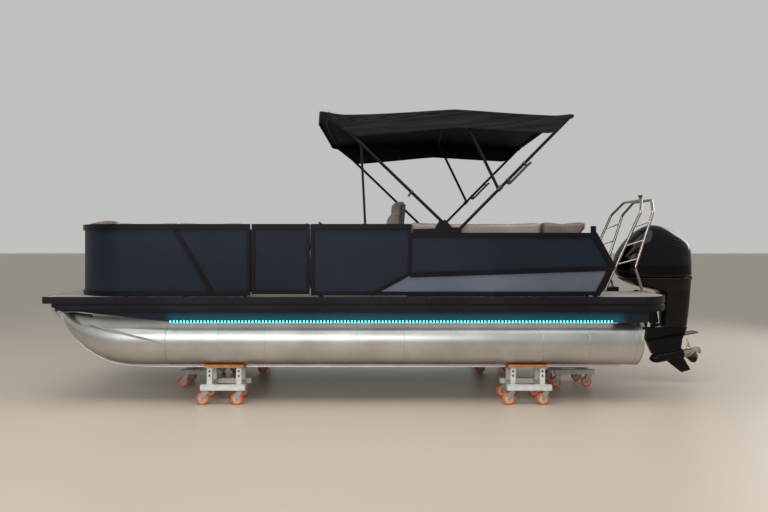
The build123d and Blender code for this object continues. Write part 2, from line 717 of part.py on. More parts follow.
tow_parts = [hoop(front_line), hoop(rear_line)]
for rise in RUNGS:
    fore = at_height(front_line, deck_z + rise)
    aft = at_height(rear_line, deck_z + rise + 75)
    tow_parts.extend(mirrored([rod(fore, aft, 11)]))
CROSS_R = 14
tow_parts.append(rod((-3254, 0, bar_top_z), (-3390, 0, bar_top_z), CROSS_R))
for foot in (front_line[0], rear_line[0]):
    tow_parts.extend(mirrored([rod((foot[0], BAR_Y, deck_z), (foot[0], BAR_Y, deck_z + 8), 36)]))
tow_bar = fuse(tow_parts)
save("tow_bar", [tow_bar])
KNOB_X = -3366
KNOB_R = 18
neck_z0 = bar_top_z + CROSS_R + 6
neck_z1 = neck_z0 + 42
knob = block(KNOB_X - 24, KNOB_X + 24, -22, 22, bar_top_z, neck_z0) - tow_bar
knob = max(knob.solids(), key=lambda s: s.center().Z)
knob += rod((KNOB_X, 0, neck_z0), (KNOB_X, 0, neck_z1), KNOB_R)
knob += rod((KNOB_X, 0, neck_z1), (KNOB_X, 0, neck_z1 + 24), 30)
save("tow_knob", [knob])

# Outboard, drawn as it stands: trimmed out with the lower unit aft
trim = math.radians(TRIM_DEG)
steer_dir = Vector(math.sin(trim), 0, math.cos(trim))
shaft_dir = Vector(-math.cos(trim), 0, math.sin(trim))
STEER_FOOT = Vector(-3520, 0, 1000)
TILT_AXIS = (-3372, TRANSOM_TOP + 34)


def on_steer(z):
    """Point of the steering axis at height z."""
    return STEER_FOOT + steer_dir * ((z - STEER_FOOT.Z) / steer_dir.Z)


CLAMP_Y0 = 118
CLAMP_Y1 = 136
TILT_TUBE_R = 18
clamp_outline = [
    (transom_x, TRANSOM_TOP - 450),
    (transom_x, TRANSOM_TOP),
    (transom_x + 60, TRANSOM_TOP),
    (transom_x + 60, TRANSOM_TOP + 30),
    (TILT_AXIS[0] + 20, TRANSOM_TOP + 72),
    (TILT_AXIS[0] - 30, TRANSOM_TOP + 66),
    (TILT_AXIS[0] - 60, TRANSOM_TOP - 60),
    (transom_x - 60, TRANSOM_TOP - 450),
]
tilt_tube = rod(
    (TILT_AXIS[0], -CLAMP_Y1 - 24, TILT_AXIS[1]), (TILT_AXIS[0], CLAMP_Y1 + 24, TILT_AXIS[1]), TILT_TUBE_R
)
clamp = fuse(mirrored([side_plate(clamp_outline, CLAMP_Y0, CLAMP_Y1)]) + [tilt_tube])
save("clamp_bracket", [clamp])

KING_R = 20
SWIVEL_R = 62
SWIVEL_HALF = 108
swivel_top = on_steer(1130)
swivel_foot = on_steer(840)
arm_top_z = swivel_top.Z - 20
arm_foot = on_steer(860)
arm_outline = [
    (TILT_AXIS[0] + 26, TILT_AXIS[1] - 20),
    (TILT_AXIS[0] + 22, TILT_AXIS[1] + 24),
    (TILT_AXIS[0] - 24, TILT_AXIS[1] + 24),
    (TILT_AXIS[0] - 32, swivel_top.Z - 2),
    (swivel_top.X, arm_top_z),
    (arm_foot.X, arm_foot.Z),
    (arm_foot.X + 105, arm_foot.Z),
    (TILT_AXIS[0] + 4, arm_top_z - 20),
]
swivel = side_plate(arm_outline, -SWIVEL_HALF, SWIVEL_HALF) + rod(
    tuple(swivel_foot), tuple(swivel_top), SWIVEL_R
)
swivel -= rod(
    (TILT_AXIS[0], -SWIVEL_HALF - 5, TILT_AXIS[1]), (TILT_AXIS[0], SWIVEL_HALF + 5, TILT_AXIS[1]),
    TILT_TUBE_R + 0.05,
)
king_bore = rod(tuple(on_steer(700)), tuple(on_steer(1400)), KING_R + 0.05)
save("swivel_bracket", [swivel - king_bore])

# Leg: a tray under the powerhead and a housing behind the swivel, held by a yoke above and below
TRAY_STATIONS = [
    {"z": 1450, "fore": -3070, "aft": -4040, "half": 268, "corner": 150},
    {"z": 1335, "fore": -3275, "aft": -4036, "half": 238, "corner": 120},
    {"z": 1292, "fore": -3480, "aft": -4034, "half": 205, "corner": 90},
]
LEG_STATIONS = [
    {"z": 1300, "fore": -3630, "aft": -4034, "half": 180, "corner": 80},
    {"z": 1050, "fore": -3640, "aft": -4022, "half": 135, "corner": 60},
    {"z": 780, "fore": -3640, "aft": -3990, "half": 95, "corner": 50},
]


def section(station, inset):
    length = station["fore"] - station["aft"] - 2 * inset
    face = Rectangle(length, 2 * (station["half"] - inset))
    face = fillet(face.vertices(), max(station["corner"] - inset, 4))
    return Pos((station["fore"] + station["aft"]) / 2, 0, station["z"]) * face


tray = loft([section(s, 0) for s in TRAY_STATIONS], ruled=True)
housing = loft([section(s, 0) for s in LEG_STATIONS], ruled=True)
king_pin = rod(tuple(on_steer(790)), tuple(on_steer(1170)), KING_R)
YOKE_R = 56
YOKES = [{"low": 1142, "high": 1178}, {"low": 786, "high": 826}]
yokes = []
for yoke in YOKES:
    yokes.append(rod(tuple(on_steer(yoke["low"])), tuple(on_steer(yoke["high"])), YOKE_R))
    yoke_x = on_steer(yoke["low"]).X
    yokes.append(block(yoke_x - 220, yoke_x, -50, 50, yoke["low"] + 12, yoke["high"] - 2))
leg = fuse([tray, housing, king_pin] + yokes)
save("motor_leg", [leg])

# Gearcase: plates, strut, torpedo and skeg
hub_end_x = -BOW_X + HUB_R * math.sin(trim)
HUB_LENGTH = 232
hub_end_z = 441.7 + (-4062 - hub_end_x) * math.tan(trim)
hub_end = Vector(hub_end_x, 0, hub_end_z)


def on_shaft(back):
    """Point of the propeller axis, counted forward from the hub's end."""
    return hub_end - shaft_dir * back


TORPEDO_R = 68
torpedo_aft = on_shaft(HUB_LENGTH + 6)
torpedo_fore = on_shaft(HUB_LENGTH + 370)
nose_tip = on_shaft(HUB_LENGTH + 455)
torpedo = rod(tuple(torpedo_aft), tuple(torpedo_fore), TORPEDO_R)
nose_plane = Plane(origin=torpedo_fore, z_dir=-shaft_dir)
nose_mid = Plane(origin=on_shaft(HUB_LENGTH + 425), z_dir=-shaft_dir)
nose_end = Plane(origin=nose_tip, z_dir=-shaft_dir)
torpedo += loft([nose_plane * Circle(TORPEDO_R), nose_mid * Circle(48), nose_end * Circle(14)], ruled=True)
strut_outline = [
    (-3429, 612),
    (-3450, 778),
    (-3990, 778),
    (-3925, 612),
    (-3905, 470),
    (-3560, 380),
    (-3515, 420),
]
strut = side_plate(strut_outline, -34, 34)
plate_plane = Plane(origin=(-3640, 0, 622), x_dir=-shaft_dir, z_dir=steer_dir)
plate = extrude(plate_plane * (Pos(-150, 0) * Rectangle(690, 210)), amount=9)
plate = fillet(plate.edges().filter_by(Axis(origin=(0, 0, 0), direction=steer_dir)), 70)
skeg_outline = [
    (-3700, 330),
    (-3925, 156),
    (-4049, 193),
    (-3960, 345),
    (-3900, 380),
]
skeg = side_plate(skeg_outline, -9, 9)
gearcase = fuse([torpedo, strut, plate, skeg])
PROP_SHAFT_R = 15
gearcase -= rod(tuple(on_shaft(HUB_LENGTH - 5)), tuple(on_shaft(HUB_LENGTH + 95)), PROP_SHAFT_R + 1)
gearcase -= leg
save("gearcase", [gearcase])

# Propeller: hub, stub shaft and three pitched blades
BLADE_R = 186
BLADE_T = 7
hub = rod(tuple(hub_end), tuple(on_shaft(HUB_LENGTH)), HUB_R)
stub = rod(tuple(on_shaft(HUB_LENGTH - 5)), tuple(on_shaft(HUB_LENGTH + 90)), PROP_SHAFT_R)
blade_root = on_shaft(HUB_LENGTH * 0.6)
BLADE_STATIONS = [
    {"r": 36, "chord": 120, "pitch": 58},
    {"r": 110, "chord": 150, "pitch": 36},
    {"r": 170, "chord": 96, "pitch": 26},
    {"r": BLADE_R, "chord": 40, "pitch": 24},
]
blades = []
for turn in (0, 120, 240):
    spoke = Vector(*steer_dir).rotate(Axis((0, 0, 0), tuple(shaft_dir)), turn)
    cuts = []
    for station in BLADE_STATIONS:
        origin = blade_root + spoke * station["r"]
        chord_dir = Vector(*shaft_dir).rotate(Axis((0, 0, 0), tuple(spoke)), 90 - station["pitch"])
        cut = Plane(origin=origin, x_dir=chord_dir, z_dir=spoke)
        cuts.append(cut * Rectangle(station["chord"], BLADE_T))
    blades.append(loft(cuts))
save("propeller", [fuse([hub, stub] + blades)])

# Cowl: a hollow cover over the powerhead
COWL_STATIONS = [
    {"z": 1450, "fore": -3070, "aft": -4040, "half": 268, "corner": 150},
    {"z": 1700, "fore": -3006, "aft": -4041, "half": 262, "corner": 160},
    {"z": 1930, "fore": -3170, "aft": -4012, "half": 236, "corner": 160},
    {"z": 2080, "fore": -3325, "aft": -3850, "half": 180, "corner": 140},
    {"z": 2174, "fore": -3480, "aft": -3640, "half": 70, "corner": 60},
]
COWL_T = 8
cowl_out = loft([section(s, 0) for s in COWL_STATIONS], ruled=True)
inner_stations = []
for s in COWL_STATIONS[:-1]:
    inner_stations.append(dict(s))
inner_stations[0]["z"] -= 1
inner_stations[-1]["z"] -= 14
cowl = cowl_out - loft([section(s, COWL_T) for s in inner_stations], ruled=True)
save("cowl", [cowl])
save("powerhead", [block(-3880, -3210, -190, 190, 1450, 1860)])

# Canopy mounts on the fence rails
front_pivot = (step_x - 383, deck_z + 873)
rear_pivot = (step_x - 574, deck_z + 783)
CHEEK_T = 5
CHEEK_GAP = 21
PIVOT_R = 6
cheek = [
    (step_x - 40, rear_top_z),
    (step_x - 40, rear_top_z + 44),
    (front_pivot[0] + 90, rear_top_z + 50),
    (front_pivot[0] + 32, front_pivot[1] + 26),
    (front_pivot[0] - 32, front_pivot[1] + 26),
    (rear_pivot[0] + 80, rear_pivot[1] + 28),
    (rear_pivot[0] - 26, rear_pivot[1] + 24),
    (rear_pivot[0] - 26, rear_top_z),
]
SLOT_HALF = 8
slot_way = Vector(rear_pivot[1] - front_pivot[1], 0, front_pivot[0] - rear_pivot[0]).normalized()
slot_end = Vector(front_pivot[0], 0, front_pivot[1]) + slot_way * 60
slot = bar(front_pivot, (slot_end.X, slot_end.Z), 2 * SLOT_HALF, fence_y - 60, fence_y + 60)
slot += across(front_pivot, fence_y - 60, fence_y + 60, SLOT_HALF)
mount_parts = [
    side_plate(cheek, fence_y - CHEEK_GAP - CHEEK_T, fence_y - CHEEK_GAP) - slot,
    side_plate(cheek, fence_y + CHEEK_GAP, fence_y + CHEEK_GAP + CHEEK_T) - slot,
    block(
        rear_pivot[0] - 26, step_x - 40, fence_y - CHEEK_GAP - CHEEK_T, fence_y + CHEEK_GAP + CHEEK_T,
        rear_top_z, rear_top_z + 6,
    ),
]
PIN_REACH = CHEEK_GAP + 9
mount_parts.append(across(rear_pivot, fence_y - PIN_REACH, fence_y + PIN_REACH, PIVOT_R))
strut_foot = (step_x + 523, top_z1 + 22)
strut_y = fence_y - 42
foot_mount = block(
    strut_foot[0] - 22, strut_foot[0] + 22, strut_y - 16, back_y + 20, top_z1, top_z1 + 7
)
foot_mount += block(
    strut_foot[0] - 14, strut_foot[0] + 14, strut_y - 16, strut_y - 12, top_z1 - 30, top_z1 + 5
)
save("canopy_mounts", mirrored([fuse(mount_parts), foot_mount]))


# Canopy bows: each leg stands at its own angle, and the crown arches between them
def leg_dir(angle):
    return Vector(math.cos(math.radians(angle)), 0, math.sin(math.radians(angle)))


def bow(pivot, angle, half, length, eye_r, bore_r):
    up = leg_dir(angle)
    flat = Plane(origin=(pivot[0], 0, pivot[1]), x_dir=(0, 1, 0), z_dir=(up.Z, 0, -up.X))
    corner = length - 0.1 * BOW_RISE
    line = Polyline(
        (-half, 14), (-half, corner), (-half + 130, length + 20), (0, length + BOW_RISE),
        (half - 130, length + 20), (half, corner), (half, 14),
    )
    wire = Wire(line.edges())
    bends = [v for v in wire.vertices() if v.Y > 100]
    wire = wire.fillet_2d(90, bends)
    path = flat.from_local_coords(wire)
    frame = sweep(Plane(path @ 0, z_dir=path % 0) * Circle(BOW_TUBE_R), path=path)
    eyes = []
    for side in (-half, half):
        eye = rod((pivot[0], side - 18, pivot[1]), (pivot[0], side + 18, pivot[1]), eye_r)
        eyes.append(eye)
    frame = fuse([frame] + eyes)
    if bore_r:
        for side in (-half, half):
            frame -= rod((pivot[0], side - 20, pivot[1]), (pivot[0], side + 20, pivot[1]), bore_r)
    return frame


FRONT_ANGLE = 43.9
REAR_ANGLE = 134.6
MIDDLE_ANGLE = 64.2
FRONT_LEG = 1850
REAR_LEG = 1880
front_bow = bow(front_pivot, FRONT_ANGLE, fence_y, FRONT_LEG, 19, 0)
rear_bow = bow(rear_pivot, REAR_ANGLE, fence_y, REAR_LEG, 19, PIVOT_R + 0.05)
MIDDLE_UP = 681
MIDDLE_LEG = 1010
middle_y = fence_y - 80
rear_up = leg_dir(REAR_ANGLE)
middle_pivot = (rear_pivot[0] + rear_up.X * MIDDLE_UP, rear_pivot[1] + rear_up.Z * MIDDLE_UP)
middle_bow = bow(middle_pivot, MIDDLE_ANGLE, middle_y, MIDDLE_LEG, 18, 5.05)
slider = rod(
    (middle_pivot[0] - rear_up.X * 30, fence_y, middle_pivot[1] - rear_up.Z * 30),
    (middle_pivot[0] + rear_up.X * 30, fence_y, middle_pivot[1] + rear_up.Z * 30),
    BOW_TUBE_R + 5,
)
slider += across(middle_pivot, middle_y - 22, fence_y, 5)
rear_bow = fuse([rear_bow] + mirrored([slider]))
front_up = leg_dir(FRONT_ANGLE)
STRUT_UP = 1322
strut_top = (front_pivot[0] + front_up.X * STRUT_UP, front_pivot[1] + front_up.Z * STRUT_UP)
clip = rod(
    (strut_top[0] - front_up.X * 24, fence_y, strut_top[1] - front_up.Z * 24),
    (strut_top[0] + front_up.X * 24, fence_y, strut_top[1] + front_up.Z * 24),
    BOW_TUBE_R + 4,
)
clip += across(strut_top, strut_y - 16, fence_y, 4)
loose_pin = across(front_pivot, fence_y - PIN_REACH, fence_y + PIN_REACH, PIVOT_R)
front_bow = fuse([front_bow] + mirrored([clip, loose_pin]))
save("front_bow", [front_bow])
save("rear_bow", [rear_bow])
save("middle_bow", [middle_bow])
strut_top_3 = (strut_top[0], strut_y, strut_top[1])
strut_foot_3 = (strut_foot[0], strut_y, strut_foot[1])
STRUT_R = 14
port_strut = rod(strut_top_3, strut_foot_3, STRUT_R)
port_strut += across(strut_top, strut_y - STRUT_R, strut_y + STRUT_R, 16)
port_strut -= across(strut_top, strut_y - 20, strut_y + 14, 4.05)
save("port_strut", [port_strut])
save("starboard_strut", [mirror(port_strut, about=Plane.XZ)])

# Canopy: a thin cover stretched over the three crowns, with hanging sides
CANOPY_T = 4
CLOTH_GAP = BOW_TUBE_R + 9
canopy_half = fence_y + BOW_TUBE_R + 8
middle_up = leg_dir(MIDDLE_ANGLE)
CROWNS = [
    {"pivot": rear_pivot, "up": rear_up, "leg": REAR_LEG, "half": fence_y, "lip": -20, "drop": 212},
    {"pivot": middle_pivot, "up": middle_up, "leg": MIDDLE_LEG, "half": middle_y, "lip": 0, "drop": 222},
    {"pivot": front_pivot, "up": front_up, "leg": FRONT_LEG, "half": fence_y, "lip": 80, "drop": 270},
]
port_cuts = []
edge_line = []
hem_line = []
for crown in CROWNS:
    up = crown["up"]
    base = (crown["pivot"][0] + crown["lip"], 0, crown["pivot"][1])
    flat = Plane(origin=base, x_dir=(0, 1, 0), z_dir=(up.Z, 0, -up.X))
    peak = crown["leg"] + BOW_RISE + CLOTH_GAP
    slope = (BOW_RISE - 20) / (crown["half"] - 130)
    edge = peak - slope * canopy_half
    corners = [(0, peak), (canopy_half, edge), (canopy_half, edge + CANOPY_T), (0, peak + CANOPY_T)]
    port_cuts.append(flat * make_face(Polyline(*corners, close=True)))
    middle = edge + CANOPY_T / 2
    edge_z = crown["pivot"][1] + up.Z * middle
    edge_line.append((base[0] + up.X * middle, edge_z))
    hem_z = edge_z - crown["drop"]
    hem_line.insert(0, (crown["pivot"][0] + up.X / up.Z * (hem_z - crown["pivot"][1]), hem_z))
roof = mirrored([loft(port_cuts[:2], ruled=True), loft(port_cuts[1:], ruled=True)])
valance = side_plate(edge_line + hem_line, canopy_half - CANOPY_T, canopy_half)
save("canopy", [fuse(roof + mirrored([valance]))])

# Dollies under the logs
DOLLIES = [
    {"x": 2090, "y": log_y, "drop": 0},
    {"x": -1550, "y": log_y, "drop": 0},
    {"x": 2090, "y": -log_y, "drop": 0},
    {"x": -1550, "y": -log_y, "drop": 0},
    {"x": 2585, "y": 0, "drop": CENTRE_LOG_DROP},
    {"x": -2390, "y": 0, "drop": CENTRE_LOG_DROP},
]
DOLLY_LENGTH = 530
DOLLY_WIDTH = 460
DOLLY_BAR = 63
BAR_Z0 = 174
POST_X = 176
POST_Y = 118
POST_W = 64
BUNK_T = 38
BUNK_W = 140
BUNK_LENGTH = 470
BUNK_OUT = 42
CASTER_X = 203
CASTER_Y = 192
TRAIL = 40
bunk = math.radians(BUNK_ANGLE)
crown_z = BAR_Z0 - 16
dolly_frames = []
bunks = []
forks = []
wheels = []
for dolly in DOLLIES:
    axis_z = LOG_AXIS_Z - dolly["drop"]
    x = dolly["x"]
    y = dolly["y"]
    bars = []
    for side in (-1, 1):
        bar_y = y + side * (DOLLY_WIDTH - DOLLY_BAR) / 2
        bars.append(
            block(x - DOLLY_LENGTH / 2, x + DOLLY_LENGTH / 2, bar_y - DOLLY_BAR / 2, bar_y + DOLLY_BAR / 2,
                  BAR_Z0, BAR_Z0 + DOLLY_BAR)
        )
        post_x = x + side * POST_X
        bars.append(
            block(post_x - DOLLY_BAR / 2, post_x + DOLLY_BAR / 2, y - DOLLY_WIDTH / 2 + 10,
                  y + DOLLY_WIDTH / 2 - 10, BAR_Z0, BAR_Z0 + DOLLY_BAR)
        )
    for side in (-1, 1):
        touch_y = y + side * log_r * math.sin(bunk)
        touch_z = axis_z - log_r * math.cos(bunk)
        lean = Pos(x, touch_y, touch_z) * Rot(side * BUNK_ANGLE, 0, 0)
        board = lean * Pos(0, side * BUNK_OUT, -BUNK_T / 2) * Box(BUNK_LENGTH, BUNK_W, BUNK_T)
        bunks.append(board)
        cutter = lean * Pos(0, 0, 100 - BUNK_T) * Box(DOLLY_LENGTH, 3 * BUNK_W, 200)
        for end in (-1, 1):
            post_x = x + end * POST_X
            post_y = y + side * POST_Y
            post = block(
                post_x - POST_W / 2, post_x + POST_W / 2, post_y - 20, post_y + 20, BAR_Z0 + 10, touch_z + 40
            )
            bars.append(post - cutter)
    dolly_frames.append(fuse(bars))
    for end in (-1, 1):
        for side in (-1, 1):
            cx = x + end * CASTER_X
            cy = y + side * CASTER_Y
            axle_x = cx + TRAIL
            fork = block(cx - 42, cx + 42, cy - 36, cy + 36, BAR_Z0 - 6, BAR_Z0)
            fork += rod((cx, cy, crown_z), (cx, cy, BAR_Z0 - 5), 30)
            fork += block(cx - 34, cx + 46, cy - 28, cy + 28, crown_z - 5, crown_z + 1)
            arm = [
                (cx - 34, crown_z),
                (cx + 46, crown_z),
                (axle_x + 14, CASTER_R - 14),
                (axle_x - 14, CASTER_R - 14),
            ]
            fork += side_plate(arm, cy - 28, cy - 24)
            fork += side_plate(arm, cy + 24, cy + 28)
            fork += rod((axle_x, cy - 33, CASTER_R), (axle_x, cy + 33, CASTER_R), 8)
            forks.append(fork)
            tyre = rod((axle_x, cy - 20, CASTER_R), (axle_x, cy + 20, CASTER_R), CASTER_R)
            tyre -= rod((axle_x, cy - 21, CASTER_R), (axle_x, cy + 21, CASTER_R), 8)
            wheels.append(tyre)
save("dolly_frames", dolly_frames)
save("bunk_boards", bunks)
save("caster_forks", forks)
save("caster_wheels", wheels)
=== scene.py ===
import math

import bmesh
import bpy
from mathutils import Matrix, Vector, noise
from mathutils.bvhtree import BVHTree


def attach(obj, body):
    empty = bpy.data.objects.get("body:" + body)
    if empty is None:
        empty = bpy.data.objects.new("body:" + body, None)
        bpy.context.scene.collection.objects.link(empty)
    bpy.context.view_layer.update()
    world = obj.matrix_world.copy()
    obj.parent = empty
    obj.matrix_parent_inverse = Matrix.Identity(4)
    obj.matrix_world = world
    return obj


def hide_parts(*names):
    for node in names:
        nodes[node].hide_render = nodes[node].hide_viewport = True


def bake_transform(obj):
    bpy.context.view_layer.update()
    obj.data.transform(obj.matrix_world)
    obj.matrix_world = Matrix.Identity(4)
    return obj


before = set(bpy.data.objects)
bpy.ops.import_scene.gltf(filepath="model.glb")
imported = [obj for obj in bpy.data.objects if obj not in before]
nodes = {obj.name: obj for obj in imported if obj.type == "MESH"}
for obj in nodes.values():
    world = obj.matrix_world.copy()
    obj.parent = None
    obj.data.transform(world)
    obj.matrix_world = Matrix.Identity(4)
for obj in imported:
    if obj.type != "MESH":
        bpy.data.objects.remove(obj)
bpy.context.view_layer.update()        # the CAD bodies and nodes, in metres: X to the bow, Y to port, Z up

print("boat loaded:", len(nodes), "CAD nodes")


# sRGB hex text to the linear values that the shaders take
def linearColour(hexText):
    channels = [int(hexText[i:i + 2], 16) / 255 for i in (1, 3, 5)]
    return [c / 12.92 if c <= 0.04045 else ((c + 0.055) / 1.055) ** 2.4 for c in channels] + [1.0]


# adds one node with its settings, input values, colour stops and links
def addNode(tree, kind, settings=None, values=None, links=None, stops=None):
    made = tree.nodes.new(kind)
    for name, value in (settings or {}).items():
        setattr(made, name, value)
    for name, value in (values or {}).items():
        made.inputs[name].default_value = value
    for name, socket in (links or {}).items():
        tree.links.new(socket, made.inputs[name])
    for index, (position, hexText) in enumerate(stops or []):
        ramp = made.color_ramp.elements
        stop = ramp[index] if index < len(ramp) else ramp.new(position)
        stop.position = position
        stop.color = linearColour(hexText)
    return made


# makes an object of a finished shape and puts it in the scene
def placeShape(name, shape):
    mesh = bpy.data.meshes.new(name)
    shape.to_mesh(mesh)
    shape.free()
    made = bpy.data.objects.new(name, mesh)
    bpy.context.scene.collection.objects.link(made)
    return made


# a new material, or a copy of one, with its node tree, its shader and its object coordinates
def openMaterial(name, source=None):
    material = source.copy() if source else bpy.data.materials.new(name)
    material.name = name
    material.use_nodes = True
    tree = material.node_tree
    place = addNode(tree, "ShaderNodeTexCoord").outputs["Object"]
    return material, tree, tree.nodes["Principled BSDF"], place


view = {
    "place": (0.389, 8.595, 1.91),
    "lens": 29.44,
    "shift": (0.0234, -0.0156),      # puts the vanishing point where the photograph has it
}


def makeCamera():
    data = bpy.data.cameras.new("photoCamera")
    data.lens = view["lens"]
    data.sensor_width = 36
    data.shift_x, data.shift_y = view["shift"]
    data.clip_end = 300
    camera = bpy.data.objects.new("photoCamera", data)
    bpy.context.scene.collection.objects.link(camera)
    camera.location = view["place"]
    camera.rotation_euler = Vector((0, -1, 0)).to_track_quat("-Z", "Y").to_euler()
    bpy.context.scene.camera = camera


studio = {
    "floorSize": 240.0,
    "floor": "#C6B8A8",
    "floorRough": 0.42,
    "wall": "#C4C6C3",
    "wallSeen": 0.95,
    "wallLight": 0.62,
    "lamps": [
        dict(name="ceilingLamp", place=(0.5, 2.5, 6.5), size=(11.0, 5.0), power=420, aim=(0.3, 0, 1.0)),
        dict(name="portLamp", place=(2.5, 9.5, 4.2), size=(9.0, 3.0), power=300, aim=(0, 0, 1.2)),
        dict(name="sternLamp", place=(-9.0, -3.0, 4.5), size=(4.0, 4.0), power=200, aim=(-1, 0, 1.5)),
    ],
}


def makeStudio():
    world = bpy.data.worlds.new("studioWorld")
    bpy.context.scene.world = world
    world.use_nodes = True
    tree = world.node_tree
    tree.nodes.clear()
    # the wall looks brighter than it lights
    rays = addNode(tree, "ShaderNodeLightPath")
    seen = addNode(tree, "ShaderNodeMath", {"operation": "MAXIMUM"},
                   links={0: rays.outputs["Is Camera Ray"], 1: rays.outputs["Is Glossy Ray"]})
    seen = addNode(tree, "ShaderNodeMath", {"operation": "MAXIMUM"},
                   links={0: seen.outputs[0], 1: rays.outputs["Is Transmission Ray"]})
    strength = addNode(tree, "ShaderNodeMapRange",
                       values={"To Min": studio["wallLight"], "To Max": studio["wallSeen"]},
                       links={"Value": seen.outputs[0]})
    sky = addNode(tree, "ShaderNodeBackground", values={"Color": linearColour(studio["wall"])},
                  links={"Strength": strength.outputs[0]})
    addNode(tree, "ShaderNodeOutputWorld", links={"Surface": sky.outputs[0]})

    shape = bmesh.new()
    bmesh.ops.create_grid(shape, x_segments=2, y_segments=2, size=studio["floorSize"] / 2)
    floor = placeShape("studioFloor", shape)
    material = bpy.data.materials.new("paleFloor")
    material.use_nodes = True
    shader = material.node_tree.nodes["Principled BSDF"]
    shader.inputs["Base Color"].default_value = linearColour(studio["floor"])
    shader.inputs["Roughness"].default_value = studio["floorRough"]
    floor.data.materials.append(material)

    for lamp in studio["lamps"]:
        data = bpy.data.lights.new(lamp["name"], "AREA")
        data.shape = "RECTANGLE"
        data.size, data.size_y = lamp["size"]
        data.energy = lamp["power"]
        light = bpy.data.objects.new(lamp["name"], data)
        light.location = lamp["place"]
        aim = Vector(lamp["aim"]) - Vector(lamp["place"])
        light.rotation_euler = aim.to_track_quat("-Z", "Y").to_euler()
        bpy.context.scene.collection.objects.link(light)
    bpy.context.scene.view_settings.view_transform = "Standard"


makeCamera()
makeStudio()
print("camera and studio made")

